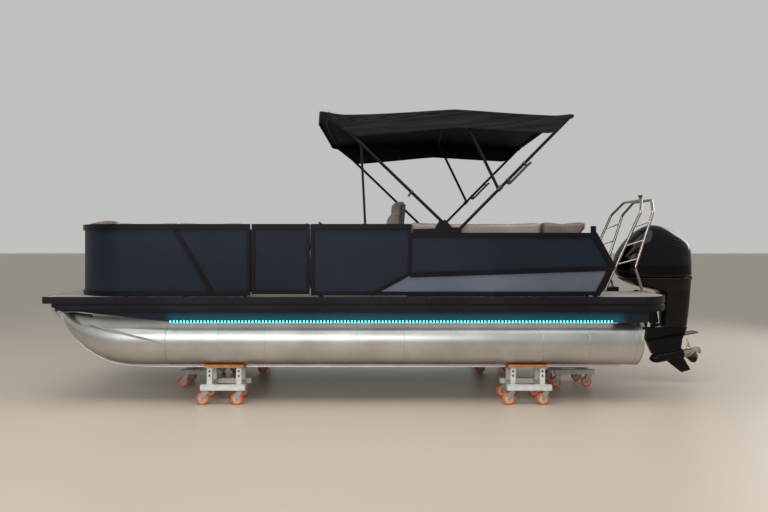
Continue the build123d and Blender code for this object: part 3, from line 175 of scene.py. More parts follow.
# Sizes are millimetres on the real boat: blotch is slow colour change, grain the fine relief,
# streak how much longer it runs along X, edge the rounding seen on sharp corners.
finishes = {
    # rolled aluminium sheet: grey-white, soft lengthwise lines, faint dents that bend reflections
    # (calm: X where the barrels end, X where the hand-pressed noses wave fully, the barrels' share of that)
    "rolledAluminium": dict(colours=("#B5B3B2", "#C6C4C2"), blotch=420, grain=2.2, relief=0.05, streak=90,
                            dent=260, dentDepth=3.2, calm=(2.72, 2.95, 0.22), rough=(0.28, 0.40),
                            metallic=1.0),
    # extruded aluminium half-round, paler than the sheet: its brightness is a painted highlight, the
    # brightest edge on the hull
    "extrudedAluminium": dict(colours=("#DCDCDF", "#E9E9EC"), blotch=120, grain=2, relief=0.03, streak=40,
                              rough=(0.24, 0.36), metallic=1.0),
    # welding wire laid in ripples: duller and greyer than the sheet
    "weldedAluminium": dict(colours=("#A9A7A4", "#BDBBB8"), blotch=30, grain=4, relief=0.5,
                            rough=(0.30, 0.42), metallic=1.0),
    # powder-coated aluminium extrusion: even brown-black with a fine orange peel
    "powderCoatedTube": dict(colours=("#100D12", "#161218"), blotch=500, grain=1.6, relief=0.04,
                             rough=(0.34, 0.44), shine=0.12, edge=2.5),
    # coil-painted sheet: satin blue-black with hardly any texture
    "satinPaintedSheet": dict(colours=("#171D28", "#1D2431"), blotch=900, grain=2.0, relief=0.015, dent=600,
                              dentDepth=0.5, rough=(0.38, 0.48), shine=0.14),
    # silver-blue metallic paint: flakes give a soft sparkle
    "silverPaintedSheet": dict(colours=("#5E6473", "#6A7080"), blotch=700, grain=1.2, relief=0.02,
                               rough=(0.34, 0.42), metallic=0.5),
    # extruded black vinyl and aluminium bumper: faint lines along it
    "extrudedVinyl": dict(colours=("#19161F", "#201C27"), blotch=700, grain=2.5, relief=0.05, streak=60,
                          rough=(0.34, 0.5), shine=0.16, edge=5),
    # cross beams and risers, mill-finish aluminium: dull
    "millAluminium": dict(colours=("#8E8E8E", "#A4A3A1"), blotch=160, grain=2.5, relief=0.05, streak=20,
                          rough=(0.42, 0.55), metallic=1.0, edge=2),
    # plywood deck seen at its edges
    "treatedPlywood": dict(colours=("#7A6247", "#8C7355"), blotch=60, grain=3, relief=0.2, streak=12,
                           rough=(0.7, 0.85)),
    # woven vinyl deck cloth: pale grey, matt, a small basket weave
    "wovenVinyl": dict(colours=("#9A9188", "#B1A89E"), blotch=260, grain=7, relief=0.5, rough=(0.62, 0.75),
                       weave=9),
    # marine vinyl over foam, embossed as hide
    "taupeVinyl": dict(colours=("#82756F", "#8F827B"), blotch=300, grain=5, relief=0.16, rough=(0.42, 0.55),
                       hide=True),
    "umberVinyl": dict(colours=("#5F514C", "#6C5E58"), blotch=300, grain=5, relief=0.16, rough=(0.42, 0.55),
                       hide=True),
    # welt cord wrapped in the same vinyl, a little darker
    "weltVinyl": dict(colours=("#564A45", "#60534E"), blotch=80, grain=3, relief=0.1, rough=(0.4, 0.5)),
    # rotationally moulded polyethylene: warm grey, slightly waxy, fine pebbles
    "mouldedPolyethylene": dict(colours=("#4A4846", "#54514F"), blotch=300, grain=3, relief=0.12,
                                rough=(0.5, 0.62), edge=9),
    # sprayed gelcoat over glass fibre: smooth and hard
    "sprayedGelcoat": dict(colours=("#35353A", "#3B3B40"), blotch=500, grain=9, relief=0.03,
                           rough=(0.2, 0.28), edge=10, coat=0.4),
    # injection-moulded ABS: satin black
    "mouldedAbs": dict(colours=("#141416", "#1B1B1D"), blotch=90, grain=1.4, relief=0.04, rough=(0.34, 0.46),
                       edge=2),
    # instrument glass: near black and very smooth
    "instrumentGlass": dict(colours=("#050608", "#0A0C10"), blotch=60, grain=20, relief=0.0,
                            rough=(0.04, 0.07), coat=1.0),
    # polished stainless tube: bright and warm, with wiping marks
    "polishedStainless": dict(colours=("#948B83", "#AAA098"), blotch=70, grain=2, relief=0.01,
                              rough=(0.1, 0.22), metallic=1.0),
    # gloss two-part enamel under clear lacquer: black, mirror-like, a touch wavy
    "lacqueredEnamel": dict(colours=("#030304", "#060608"), blotch=400, grain=60, relief=0.05,
                            rough=(0.08, 0.14), shine=0.14, coat=0.12, edge=5),
    # the same enamel on castings, a little duller
    "castEnamel": dict(colours=("#040405", "#09090A"), blotch=120, grain=5, relief=0.06, rough=(0.2, 0.34),
                       shine=0.14, coat=0.1, edge=5),
    # lost-wax cast stainless, hand polished
    "castStainless": dict(colours=("#A69E95", "#BAB2A8"), blotch=60, grain=4, relief=0.05, rough=(0.16, 0.3),
                          metallic=1.0, edge=3),
    # powder-coated steel tube, scuffed: white with grey rubbed corners
    "whitePowderCoat": dict(colours=("#D2D2CF", "#E4E4E1"), blotch=90, grain=2, relief=0.06,
                            rough=(0.38, 0.55), edge=4, wear="#77726C"),
    # zinc-plated pressed steel: cool grey spangle
    "zincPlatedSteel": dict(colours=("#9A9EA2", "#B9BDC0"), blotch=14, grain=3, relief=0.05,
                            rough=(0.28, 0.42), metallic=1.0, edge=1.5),
    # cast polyurethane tread: strong orange, dusty where it rolls
    "castPolyurethane": dict(colours=("#E8601A", "#F27A2A"), blotch=40, grain=3, relief=0.06,
                             rough=(0.4, 0.55)),
    # glass-filled nylon wheel centre: pale grey
    "mouldedNylon": dict(colours=("#B4B7BA", "#C6C9CB"), blotch=50, grain=3, relief=0.05, rough=(0.42, 0.55)),
    # woven acrylic canvas: charcoal, soft sheen, threads drawn 5 mm wide instead of 0.5 so that they show
    "wovenAcrylic": dict(colours=("#1A191E", "#232127"), blotch=380, grain=12, relief=0.1, rough=(0.78, 0.9),
                         weave=5, shine=0.12, sheen=0.08),
    # glass-filled composite cover of the motor's middle: black and satin, with a brown tint that is a painted
    # reflection of the warm floor
    "mouldedComposite": dict(colours=("#120D0B", "#191311"), blotch=200, grain=3, relief=0.06,
                             rough=(0.22, 0.34), shine=0.16, edge=4),
    # the canvas's coated inside: near black
    "coatedCanvas": dict(colours=("#08080A", "#0E0E10"), blotch=300, grain=12, relief=0.08, rough=(0.6, 0.75),
                         shine=0.15),
    # EPDM rubber
    "mouldedRubber": dict(colours=("#101011", "#18181A"), blotch=60, grain=2, relief=0.08, rough=(0.6, 0.75)),
}


def makeFinish(name, recipe):
    material, tree, shader, place = openMaterial(name)
    streak = recipe.get("streak", 1)
    along = addNode(tree, "ShaderNodeMapping", values={"Scale": (1 / streak, 1, 1)}, links={"Vector": place})
    slow = addNode(tree, "ShaderNodeTexNoise", values={"Scale": 1000 / recipe["blotch"], "Detail": 3.0},
                   links={"Vector": place})
    tone = addNode(tree, "ShaderNodeValToRGB", links={"Fac": slow.outputs["Fac"]},
                   stops=[(0.36, recipe["colours"][0]), (0.64, recipe["colours"][1])])
    colour = tone.outputs["Color"]
    if recipe.get("hide"):
        fine = addNode(tree, "ShaderNodeTexVoronoi", {"feature": "DISTANCE_TO_EDGE"},
                       {"Scale": 1000 / recipe["grain"]}, {"Vector": along.outputs[0]})
        height = fine.outputs["Distance"]
    else:
        fine = addNode(tree, "ShaderNodeTexNoise", values={"Scale": 1000 / recipe["grain"], "Detail": 2.0},
                       links={"Vector": along.outputs[0]})
        height = fine.outputs["Fac"]
    if recipe.get("weave"):
        # two sets of threads, one along X and one across it over both flat and hanging cloth
        parts = addNode(tree, "ShaderNodeSeparateXYZ", links={"Vector": place})
        across = addNode(tree, "ShaderNodeMath", {"operation": "ADD"},
                         links={0: parts.outputs[1], 1: parts.outputs[2]})
        thread = math.pi / (recipe["weave"] / 1000)
        warp = addNode(tree, "ShaderNodeMath", {"operation": "MULTIPLY"}, {1: thread}, {0: parts.outputs[0]})
        weft = addNode(tree, "ShaderNodeMath", {"operation": "MULTIPLY"}, {1: thread}, {0: across.outputs[0]})
        warp = addNode(tree, "ShaderNodeMath", {"operation": "SINE"}, links={0: warp.outputs[0]})
        weft = addNode(tree, "ShaderNodeMath", {"operation": "SINE"}, links={0: weft.outputs[0]})
        cross = addNode(tree, "ShaderNodeMath", {"operation": "MULTIPLY"},
                        links={0: warp.outputs[0], 1: weft.outputs[0]})
        cross = addNode(tree, "ShaderNodeMapRange", values={"From Min": -1.0},
                        links={"Value": cross.outputs[0]})
        height = addNode(tree, "ShaderNodeMath", {"operation": "ADD"},
                         links={0: height, 1: cross.outputs[0]}).outputs[0]
        mixed = addNode(tree, "ShaderNodeMix", {"data_type": "RGBA", "blend_type": "MULTIPLY"}, {0: 0.35},
                        {6: colour, 7: cross.outputs[0]})
        colour = mixed.outputs[2]
    normal = None
    if recipe.get("edge"):
        rounded = addNode(tree, "ShaderNodeBevel", {"samples": 3}, {"Radius": recipe["edge"] / 1000})
        normal = rounded.outputs[0]
    if recipe.get("wear"):
        # rubbed corners: where the rounded normal leaves the true one
        facing = addNode(tree, "ShaderNodeNewGeometry")
        match = addNode(tree, "ShaderNodeVectorMath", {"operation": "DOT_PRODUCT"},
                        links={0: normal, 1: facing.outputs["Normal"]})
        ragged = addNode(tree, "ShaderNodeMath", {"operation": "MULTIPLY_ADD"}, {1: 0.12},
                         {0: slow.outputs["Fac"], 2: match.outputs["Value"]})
        rub = addNode(tree, "ShaderNodeMapRange", values={"From Min": 1.04, "From Max": 0.98},
                      links={"Value": ragged.outputs[0]})
        mixed = addNode(tree, "ShaderNodeMix", {"data_type": "RGBA"}, {7: linearColour(recipe["wear"])},
                        {0: rub.outputs[0], 6: colour})
        colour = mixed.outputs[2]
    if recipe.get("dent"):
        swell = addNode(tree, "ShaderNodeTexNoise", values={"Scale": 1000 / recipe["dent"], "Detail": 1.0},
                        links={"Vector": place})
        dents = addNode(tree, "ShaderNodeBump",
                        values={"Strength": 1.0, "Distance": recipe["dentDepth"] / 1000},
                        links={"Height": swell.outputs["Fac"]})
        if normal:
            tree.links.new(normal, dents.inputs["Normal"])
        if recipe.get("calm"):
            start, end, least = recipe["calm"]
            parts = addNode(tree, "ShaderNodeSeparateXYZ", links={"Vector": place})
            share = addNode(tree, "ShaderNodeMapRange",
                            values={"From Min": start, "From Max": end, "To Min": least},
                            links={"Value": parts.outputs[0]})
            tree.links.new(share.outputs[0], dents.inputs["Strength"])
        normal = dents.outputs[0]
    bump = addNode(tree, "ShaderNodeBump", values={"Strength": 1.0, "Distance": recipe["relief"] / 1000},
                   links={"Height": height})
    if normal:
        tree.links.new(normal, bump.inputs["Normal"])
    least, most = recipe["rough"]
    rough = addNode(tree, "ShaderNodeMapRange", values={"To Min": least, "To Max": most},
                    links={"Value": slow.outputs["Fac"]})
    tree.links.new(colour, shader.inputs["Base Color"])
    tree.links.new(rough.outputs[0], shader.inputs["Roughness"])
    tree.links.new(bump.outputs[0], shader.inputs["Normal"])
    shader.inputs["Metallic"].default_value = recipe.get("metallic", 0.0)
    shader.inputs["Coat Weight"].default_value = recipe.get("coat", 0.0)
    shader.inputs["Coat Roughness"].default_value = 0.04
    shader.inputs["Specular IOR Level"].default_value = recipe.get("shine", 0.5)
    shader.inputs["Sheen Weight"].default_value = recipe.get("sheen", 0.0)
    return material


# acrylic over a diode: glows by itself, whiter in small spots
def makeGlow(name, hexText, strength):
    material, tree, shader, place = openMaterial(name)
    shimmer = addNode(tree, "ShaderNodeTexNoise", values={"Scale": 160.0}, links={"Vector": place})
    tone = addNode(tree, "ShaderNodeValToRGB", links={"Fac": shimmer.outputs["Fac"]},
                   stops=[(0.3, hexText), (0.8, "#7BFFF6")])
    tree.links.new(tone.outputs["Color"], shader.inputs["Emission Color"])
    shader.inputs["Base Color"].default_value = linearColour(hexText)
    shader.inputs["Emission Strength"].default_value = strength
    shader.inputs["Roughness"].default_value = 0.3
    return material


# a finish with light painted on it, full where all its ramps have risen; a ramp along Y counts both sides
def makeLit(name, source, hexText, strength, ramps):
    material, tree, shader, place = openMaterial(name, finish[source])
    parts = addNode(tree, "ShaderNodeSeparateXYZ", links={"Vector": place})
    reach = None
    for axis, start, end in ramps:
        along = parts.outputs[axis]
        if axis == 1:
            along = addNode(tree, "ShaderNodeMath", {"operation": "ABSOLUTE"}, links={0: along}).outputs[0]
        rise = addNode(tree, "ShaderNodeMapRange", {"interpolation_type": "SMOOTHSTEP"},
                       {"From Min": start, "From Max": end}, {"Value": along}).outputs[0]
        if reach:
            rise = addNode(tree, "ShaderNodeMath", {"operation": "MULTIPLY"},
                           links={0: rise, 1: reach}).outputs[0]
        reach = rise
    wash = addNode(tree, "ShaderNodeMix", {"data_type": "RGBA"},
                   {6: linearColour("#000000"), 7: linearColour(hexText)}, {0: reach})
    tree.links.new(wash.outputs[2], shader.inputs["Emission Color"])
    shader.inputs["Emission Strength"].default_value = strength
    return material


# sawn softwood: long tan grain with darker late wood
def makeSoftwood():
    material, tree, shader, place = openMaterial("sawnSoftwood")
    along = addNode(tree, "ShaderNodeMapping", values={"Scale": (1.2, 14, 14)}, links={"Vector": place})
    rings = addNode(tree, "ShaderNodeTexNoise", values={"Scale": 6.0, "Detail": 5.0, "Distortion": 1.2},
                    links={"Vector": along.outputs[0]})
    tone = addNode(tree, "ShaderNodeValToRGB", links={"Fac": rings.outputs["Fac"]},
                   stops=[(0.3, "#9A5F2E"), (0.48, "#B9804A"), (0.7, "#CB9A63")])
    saw = addNode(tree, "ShaderNodeBump", values={"Strength": 1.0, "Distance": 0.0006},
                  links={"Height": rings.outputs["Fac"]})
    tree.links.new(tone.outputs["Color"], shader.inputs["Base Color"])
    tree.links.new(saw.outputs[0], shader.inputs["Normal"])
    shader.inputs["Roughness"].default_value = 0.72
    return material


finish = {name: makeFinish(name, recipe) for name, recipe in finishes.items()}
finish["sawnSoftwood"] = makeSoftwood()
finish["lightLens"] = makeGlow("lightLens", "#12D8D8", 5.0)
finish["stripDiffuser"] = makeGlow("stripDiffuser", "#D8F0F0", 1.4)
# painted skirt with the light strip's wash painted on as teal emission at its foot, fading upward and at both
# ends
finish["sheetWithPaintedTealGlow"] = makeLit("sheetWithPaintedTealGlow", "satinPaintedSheet", "#00525F", 0.8,
                                    [(0, 2.76, 2.64), (0, -2.70, -2.54), (2, 1.15, 1.0)])
# mill aluminium under the deck with daylight painted on as emission along its outer edge
finish["litMillAluminium"] = makeLit("litMillAluminium", "millAluminium", "#C4C6C2", 1.0, [(1, 0.88, 1.22)])

nodeFinish = {
    "rolledAluminium": ["port_log", "starboard_log", "centre_log"],
    "weldedAluminium": ["bow_eyes"],
    "millAluminium": ["log_risers", "deck_beams", "transom_pod"],
    "treatedPlywood": ["deck_board"],
    "wovenVinyl": ["deck_covering"],
    "extrudedVinyl": ["rub_rail"],
    # the skirts and the strip's channel carry a teal glow painted into their material
    "sheetWithPaintedTealGlow": ["side_skirts", "light_strips"],
    "powderCoatedTube": ["side_fence_frames", "bow_fence_frames", "stern_fence_frames", "port_gate_frame",
                         "bow_gate_frame", "stern_gate_frame", "canopy_mounts", "rear_bow", "middle_bow",
                         "front_bow", "port_strut", "starboard_strut"],
    "satinPaintedSheet": ["fence_skins", "port_gate_skin", "bow_gate_skin", "stern_gate_skin"],
    "silverPaintedSheet": ["silver_panels"],
    "mouldedPolyethylene": ["bow_lounge_bases", "stern_lounge_base"],
    "sprayedGelcoat": ["helm_console"],
    "mouldedAbs": ["steering_wheel", "helm_seat_shell", "tow_knob"],
    "polishedStainless": ["tow_bar", "helm_pedestal"],
    "castEnamel": ["clamp_bracket", "swivel_bracket", "gearcase", "powerhead"],
    "castStainless": ["propeller"],
    "whitePowderCoat": ["dolly_frames"],
    "sawnSoftwood": ["bunk_boards"],
    "zincPlatedSteel": ["caster_forks"],
}
for name, dressed in nodeFinish.items():
    for nodeName in dressed:
        for slot in nodes[nodeName].material_slots:
            slot.material = finish[name]
print("finishes made")


mergeGap = 0.00002       # points closer than this become one
pole = 0.0001            # radius where a turned profile starts or ends at its axis


# welds a shape, finishes it, lets it ride on its body and gives it its slot; sharp is an angle in degrees
def finishPiece(name, shape, finishNames, body, sharp=35, recalc=True):
    bmesh.ops.remove_doubles(shape, verts=shape.verts, dist=mergeGap)
    if recalc:
        bmesh.ops.recalc_face_normals(shape, faces=shape.faces)
    piece = placeShape(name, shape)
    piece.data.shade_smooth()
    piece.data.set_sharp_from_angle(angle=math.radians(sharp))
    for finishName in ([finishNames] if isinstance(finishNames, str) else finishNames):
        piece.data.materials.append(finish[finishName])
    if body:
        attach(piece, body)
    return piece


# placements along a path: Z runs along it and X leans towards roll
def alongPath(points, roll=(0, 0, 1)):
    path = [Vector(point) for point in points]
    placements = []
    for index, point in enumerate(path):
        ahead = (path[min(index + 1, len(path) - 1)] - path[max(index - 1, 0)]).normalized()
        side = Vector(roll) - ahead * ahead.dot(Vector(roll))
        side.normalize()
        placement = Matrix((side, ahead.cross(side), ahead)).transposed().to_4x4()
        placement.translation = point
        placements.append(placement)
    return placements


# a path with its corners rounded, a few points on each
def roundedPath(points, radius, steps=5):
    path = [Vector(point) for point in points]
    rounded = [path[0]]
    for before, corner, after in zip(path, path[1:], path[2:]):
        back = (before - corner).normalized() * min(radius, (before - corner).length * 0.45)
        on = (after - corner).normalized() * min(radius, (after - corner).length * 0.45)
        for step in range(steps + 1):
            t = step / steps
            rounded.append((corner + back) * (1 - t) ** 2 + corner * 2 * t * (1 - t) + (corner + on) * t ** 2)
    rounded.append(path[-1])
    return rounded


# pushes a flat outline along placements, as repeated extruding does; a loop has its two ends welded
def sweepOutline(shape, outline, placements, loop=False):
    first = shape.faces.new([shape.verts.new(placements[0] @ Vector((a, b, 0))) for a, b in outline])
    start = list(first.verts)
    face = first
    for last, following in zip(placements, placements[1:]):
        made = bmesh.ops.extrude_face_region(shape, geom=[face])
        face = [part for part in made["geom"] if isinstance(part, bmesh.types.BMFace)][0]
        bmesh.ops.transform(shape, matrix=following @ last.inverted(), verts=face.verts)
    if loop:
        final = list(face.verts)
        ends = [end for end in {first, face} if end.is_valid]
        bmesh.ops.delete(shape, geom=ends, context="FACES_ONLY")
        joined = [vert for vert in start + final if vert.is_valid]
        bmesh.ops.remove_doubles(shape, verts=joined, dist=20 * mergeGap)


def roundOutline(radius, sides):
    angles = [2 * math.pi * i / sides for i in range(sides)]
    return [(radius * math.cos(angle), radius * math.sin(angle)) for angle in angles]


def addTube(shape, points, radius, sides=10, roll=(0, 0, 1)):
    sweepOutline(shape, roundOutline(radius, sides), alongPath(points, roll))


# a tube round a closed line of points
def closeTube(shape, points, radius, sides=8, roll=(0, 0, 1)):
    path = [points[-1]] + list(points) + [points[0], points[1]]
    sweepOutline(shape, roundOutline(radius, sides), alongPath(path, roll)[1:-1], loop=True)


def addBlock(shape, low, high, edge=0.003, turn=None, segments=2):
    low, high = Vector(low), Vector(high)
    place = Matrix.Translation((low + high) / 2)
    if turn:
        place = place @ turn
    made = bmesh.ops.create_cube(shape, size=1, matrix=place @ Matrix.Diagonal((*(high - low), 1)))
    if edge:
        edges = list({edge for vert in made["verts"] for edge in vert.link_edges})
        bmesh.ops.bevel(shape, geom=edges, offset=edge, offset_type="OFFSET", affect="EDGES",
                        segments=segments, profile=0.5, material=-1)


# turns a profile of (radius, height) about Z, then puts it at place
def addTurned(shape, profile, place, steps=32):
    turned = bmesh.new()
    verts = [turned.verts.new((radius, 0, height)) for radius, height in profile]
    edges = [turned.edges.new(pair) for pair in zip(verts, verts[1:])]
    bmesh.ops.spin(turned, geom=verts + edges, cent=(0, 0, 0), axis=(0, 0, 1), dvec=(0, 0, 0),
                   angle=2 * math.pi, steps=steps, use_merge=True)
    bmesh.ops.remove_doubles(turned, verts=turned.verts, dist=mergeGap)
    stamp(shape, patternMesh(turned), [place])


# a placement at place whose Z looks in a direction
def facing(place, direction):
    turn = Vector(direction).to_track_quat("Z", "Y").to_matrix().to_4x4()
    return Matrix.Translation(Vector(place)) @ turn


# a finished shape kept as a mesh, for stamping
def patternMesh(shape):
    bmesh.ops.recalc_face_normals(shape, faces=shape.faces)
    mesh = bpy.data.meshes.new("pattern")
    shape.to_mesh(mesh)
    shape.free()
    return mesh


# copies a pattern to each placement
def stamp(shape, pattern, placements):
    for placement in placements:
        copied = pattern.copy()
        copied.transform(placement)
        shape.from_mesh(copied)
        bpy.data.meshes.remove(copied)


def turnedPattern(profile, steps):
    shape = bmesh.new()
    addTurned(shape, profile, Matrix.Identity(4), steps)
    return patternMesh(shape)


def blockPattern(size, edge, segments=2, middle=0.0):
    shape = bmesh.new()
    half = Vector(size) / 2
    lift = Vector((0, 0, middle))
    addBlock(shape, lift - half, lift + half, edge, segments=segments)
    return patternMesh(shape)


# a hexagon head on a washer; sides, two radii, height and middle as shares of the size
def boltPattern(size):
    shape = bmesh.new()
    for sides, below, above, tall, middle in ((14, 1.1, 1.05, 0.2, 0.1), (6, 0.82, 0.72, 0.55, 0.475)):
        bmesh.ops.create_cone(shape, cap_ends=True, segments=sides, radius1=size * below,
                              radius2=size * above, depth=size * tall,
                              matrix=Matrix.Translation((0, 0, size * middle)))
    return patternMesh(shape)


# a domed head with a hollow for the driver
def screwPattern(size):
    dome = ((0.25, 0.2), (0.3, 0.34), (0.7, 0.3), (1, 0.1), (1, -0.05))
    profile = [(pole, size * 0.18)] + [(size * radius, size * height) for radius, height in dome]
    return turnedPattern(profile, 12)


deck = 1.294             # height of the deck's top
bothSides = (-1, 1)      # starboard, then port
# the two outer logs, then the centre one
logs = [
    {"y": 0.93, "z": 0.737, "aft": -2.894},
    {"y": -0.93, "z": 0.737, "aft": -2.894},
    {"y": 0.0, "z": 0.687, "aft": -3.206},
]
logTrim = {
    "radius": 0.292,
    "noseJoint": 2.75,
    "ringStart": -0.06,
    "ringPitch": 0.547,      # baffles inside the logs, welded from outside
    "bead": 0.0032,
    "noseBead": 0.0055,
    "rims": [(0.028, 0.006, 0.0), (0.008, 0.0036, 0.022)],      # place ahead of the aft end, bead, how far in
    "keelStart": 0.205,
    "keelDepth": 0.030,
    "keelBead": 0.008,
    # height of the nose's circles above the barrel's foot, and their top, by distance from the joint
    "nose": [(0.0, 0.0, 0.0), (0.34, 0.003, 0.0), (0.5, 0.011, 0.001), (0.64, 0.030, 0.003),
             (0.78, 0.070, 0.008), (0.92, 0.135, 0.017), (1.06, 0.227, 0.032), (1.16, 0.318, 0.046),
             (1.24, 0.415, 0.060), (1.31, 0.532, 0.074), (1.366, 0.648, 0.084)],
    "strake": {"aft": (2.745, 0.752), "fore": (3.69, 0.956), "width": 0.036, "thick": 0.011, "root": 0.008},
}


# height of the middle of a nose's circle, and its radius
def noseCircle(x, log):
    ahead = x - logTrim["noseJoint"]
    table = logTrim["nose"]
    for (x0, low0, high0), (x1, low1, high1) in zip(table, table[1:]):
        if ahead <= x1:
            t = max(0.0, (ahead - x0) / (x1 - x0))
            low = -logTrim["radius"] + low0 + t * (low1 - low0)
            high = logTrim["radius"] + high0 + t * (high1 - high0)
            return log["z"] + (low + high) / 2, (high - low) / 2
    return log["z"], 0.05


def makeLogTrim():
    shape = bmesh.new()
    for log in logs:
        rings = [(logTrim["noseJoint"], logTrim["noseBead"], 0.0)]
        for step in range(-7, 6):
            x = logTrim["ringStart"] + step * logTrim["ringPitch"]
            if log["aft"] + 0.08 < x < logTrim["noseJoint"] - 0.1:
                rings.append((x, logTrim["bead"] * (1.5 if step == 0 else 1), 0.0))
        rings += [(log["aft"] + ahead, bead, inside) for ahead, bead, inside in logTrim["rims"]]
        for x, bead, inside in rings:
            circle = [(logTrim["radius"] - inside + a, b) for a, b in roundOutline(bead, 6)]
            addTurned(shape, circle + circle[:1], facing((x, log["y"], log["z"]), (1, 0, 0)), steps=80)
    finishPiece("log_weld_beads", shape, "weldedAluminium", "boat", sharp=60)

    # rising strakes on both sides of the outer noses
    shape = bmesh.new()
    strake = logTrim["strake"]
    (x0, z0), (x1, z1) = strake["aft"], strake["fore"]
    ahead = Vector((x1 - x0, 0, z1 - z0)).normalized()
    w, h = strake["width"], strake["thick"]
    for log in logs[:2]:
        for side in bothSides:
            placements = []
            for step in range(17):
                t = step / 16
                x = x0 + t * (x1 - x0)
                z = z0 + t * (z1 - z0)
                middle, radius = noseCircle(x, log)
                lift = max(-radius, min(radius, z - middle))
                reach = math.sqrt(max(radius * radius - lift * lift, 0.0))
                out = Vector((0, side * reach, lift - 0.35 * radius)).normalized()
                up = ahead.cross(out).normalized()
                placement = Matrix((out, up, out.cross(up))).transposed().to_4x4()
                placement.translation = (x, log["y"] + side * reach, z)
                # narrow at both ends
                grown = min(1.0, 0.25 + 4 * min(t, 1 - t) + t * 0.4)
                placements.append(placement @ Matrix.Diagonal((grown, 1, 1, 1)))
            sweepOutline(shape, [(-strake["root"], -h / 2), (w * 0.8, -h / 2), (w, -h), (w, h * 0.3),
                                 (w * 0.8, h / 2), (-strake["root"], h / 2)], placements)
    finishPiece("nose_strakes", shape, "rolledAluminium", "boat", sharp=40)

    # half-round welded along the keels' outer edges, pale as a painted highlight
    shape = bmesh.new()
    for log in logs:
        foot = log["z"] - logTrim["radius"] - logTrim["keelDepth"]
        line = [(log["aft"] + logTrim["keelStart"], log["y"], foot)]
        line += [(logTrim["noseJoint"] + ahead, log["y"], foot + low) for ahead, low, high in logTrim["nose"]]
        addTube(shape, line, logTrim["keelBead"], sides=10, roll=(0, 1, 0))
    finishPiece("keel_edges", shape, "extrudedAluminium", "boat", sharp=60)


rail = {
    "half": 1.295,
    "stern": -3.233,
    "well": 0.420,
    "sternCorner": 0.400,
    "insertEnd": 3.90,
    "grooveZ": -0.0905,      # under the deck's top
    "insert": (0.0095, 0.011191),       # reach outwards and half height
    "insertIn": 0.012,
    "joints": (1.95, -0.35),
    # half length, Y, half thickness, foot and head from the deck
    "cover": (0.022, 1.2965, 0.002, -0.079, -0.001),
}


# the rail's line round one side, from the motor well to just short of the bow
def railLine(side, inset):
    w = rail["half"] - inset
    x0 = rail["stern"] + inset
    radius = rail["sternCorner"] - inset
    z = deck + rail["grooveZ"]
    path = [Vector((x0, side * rail["well"], z))]
    for step in range(11):
        angle = math.pi / 2 * step / 10
        across = w - radius + radius * math.sin(angle)
        path.append(Vector((x0 + radius - radius * math.cos(angle), side * across, z)))
    path.append(Vector((rail["insertEnd"], side * w, z)))
    return path


def makeRailTrim():
    shape = bmesh.new()
    out, tall = rail["insert"]
    outline = [(out * math.cos(a), tall * math.sin(a)) for a in [math.pi * (-0.5 + i / 8) for i in range(9)]]
    for side in bothSides:
        turn = Matrix.Rotation(side * math.pi / 2, 4, "Z")
        line = railLine(side, rail["insertIn"])
        sweepOutline(shape, outline, [placement @ turn for placement in alongPath(line)])
    finishPiece("rub_rail_insert", shape, "extrudedVinyl", "boat", sharp=50)

    # cover strips at the joints of the rail's lengths
    shape = bmesh.new()
    half, y, thick, low, high = rail["cover"]
    for x in rail["joints"]:
        for side in bothSides:
            addBlock(shape, (x - half, side * y - thick, deck + low),
                     (x + half, side * y + thick, deck + high), edge=0.0015)
    finishPiece("rub_rail_joints", shape, "extrudedVinyl", "boat")


lightStrip = {
    "fore": 2.675,
    "aft": -2.556,
    "pitch": 0.04,
    "z": 1.003,
    "y": 1.2575,
    "lens": (0.013, 0.006, 0.026),
    "diffuser": (1.250, 0.004, 0.9865, 0.9888),      # Y, half width, foot and head
}


def makeLightStrip():
    lens = blockPattern(lightStrip["lens"], 0.0022, segments=1)
    fore, aft, pitch = lightStrip["fore"], lightStrip["aft"], lightStrip["pitch"]
    for side, name in ((1, "port"), (-1, "starboard")):
        shape = bmesh.new()
        stamp(shape, lens, [Matrix.Translation((fore - step * pitch, side * lightStrip["y"], lightStrip["z"]))
                            for step in range(int((fore - aft) / pitch))])
        finishPiece("light_lenses_" + name, shape, "lightLens", "boat", sharp=80, recalc=False)
    # a pale diffuser faces down along the strip's foot
    shape = bmesh.new()
    y, half, low, high = lightStrip["diffuser"]
    for side in bothSides:
        addBlock(shape, (aft, side * y - half, low), (fore, side * y + half, high), edge=0.0006, segments=1)
    finishPiece("strip_diffusers", shape, "stripDiffuser", "boat")


makeLogTrim()
makeRailTrim()
makeLightStrip()
print("hull trim made")


underdeck = {
    "low": 1.1135,
    "high": 1.1165,
    "ends": (-2.60, 3.92),
    "rows": [(0.05, 0.885), (0.975, 1.247)],
    "step": 0.62,
    "gap": 0.003,
}


# aluminium skin under the deck, laid in lengths on both sides of the outer logs' risers
def makeUnderdeck():
    shape = bmesh.new()
    for row in underdeck["rows"]:
        for side in bothSides:
            x, last = underdeck["ends"]
            low, high = sorted((side * row[0], side * row[1]))
            while x < last - 0.05:
                end = min(x + underdeck["step"], last)
                addBlock(shape, (x, low, underdeck["low"]), (end - underdeck["gap"], high, underdeck["high"]),
                         edge=0.0008, segments=1)
                x = end
    # the skin's outer edge has daylight painted into its material
    finishPiece("underdeck_skin", shape, "litMillAluminium", "boat")


sternFittings = {
    "bandX": -3.1985,
    # radius and height above the end plate
    "band": [(0.221, 0.0), (0.226, 0.010), (0.270, 0.013), (0.276, 0.006), (0.276, 0.0), (0.221, 0.0)],
    "transducer": [(-3.262, 0.035, 0.40), (-3.222, 0.095, 0.50)],
    "bracket": [(-3.226, 0.045, 0.44), (-3.206, 0.085, 0.66)],
    "arm": [(-3.225, 0.065, 0.52), (-3.24, 0.065, 0.60), (-3.212, 0.065, 0.64)],
    "armRadius": 0.006,
}


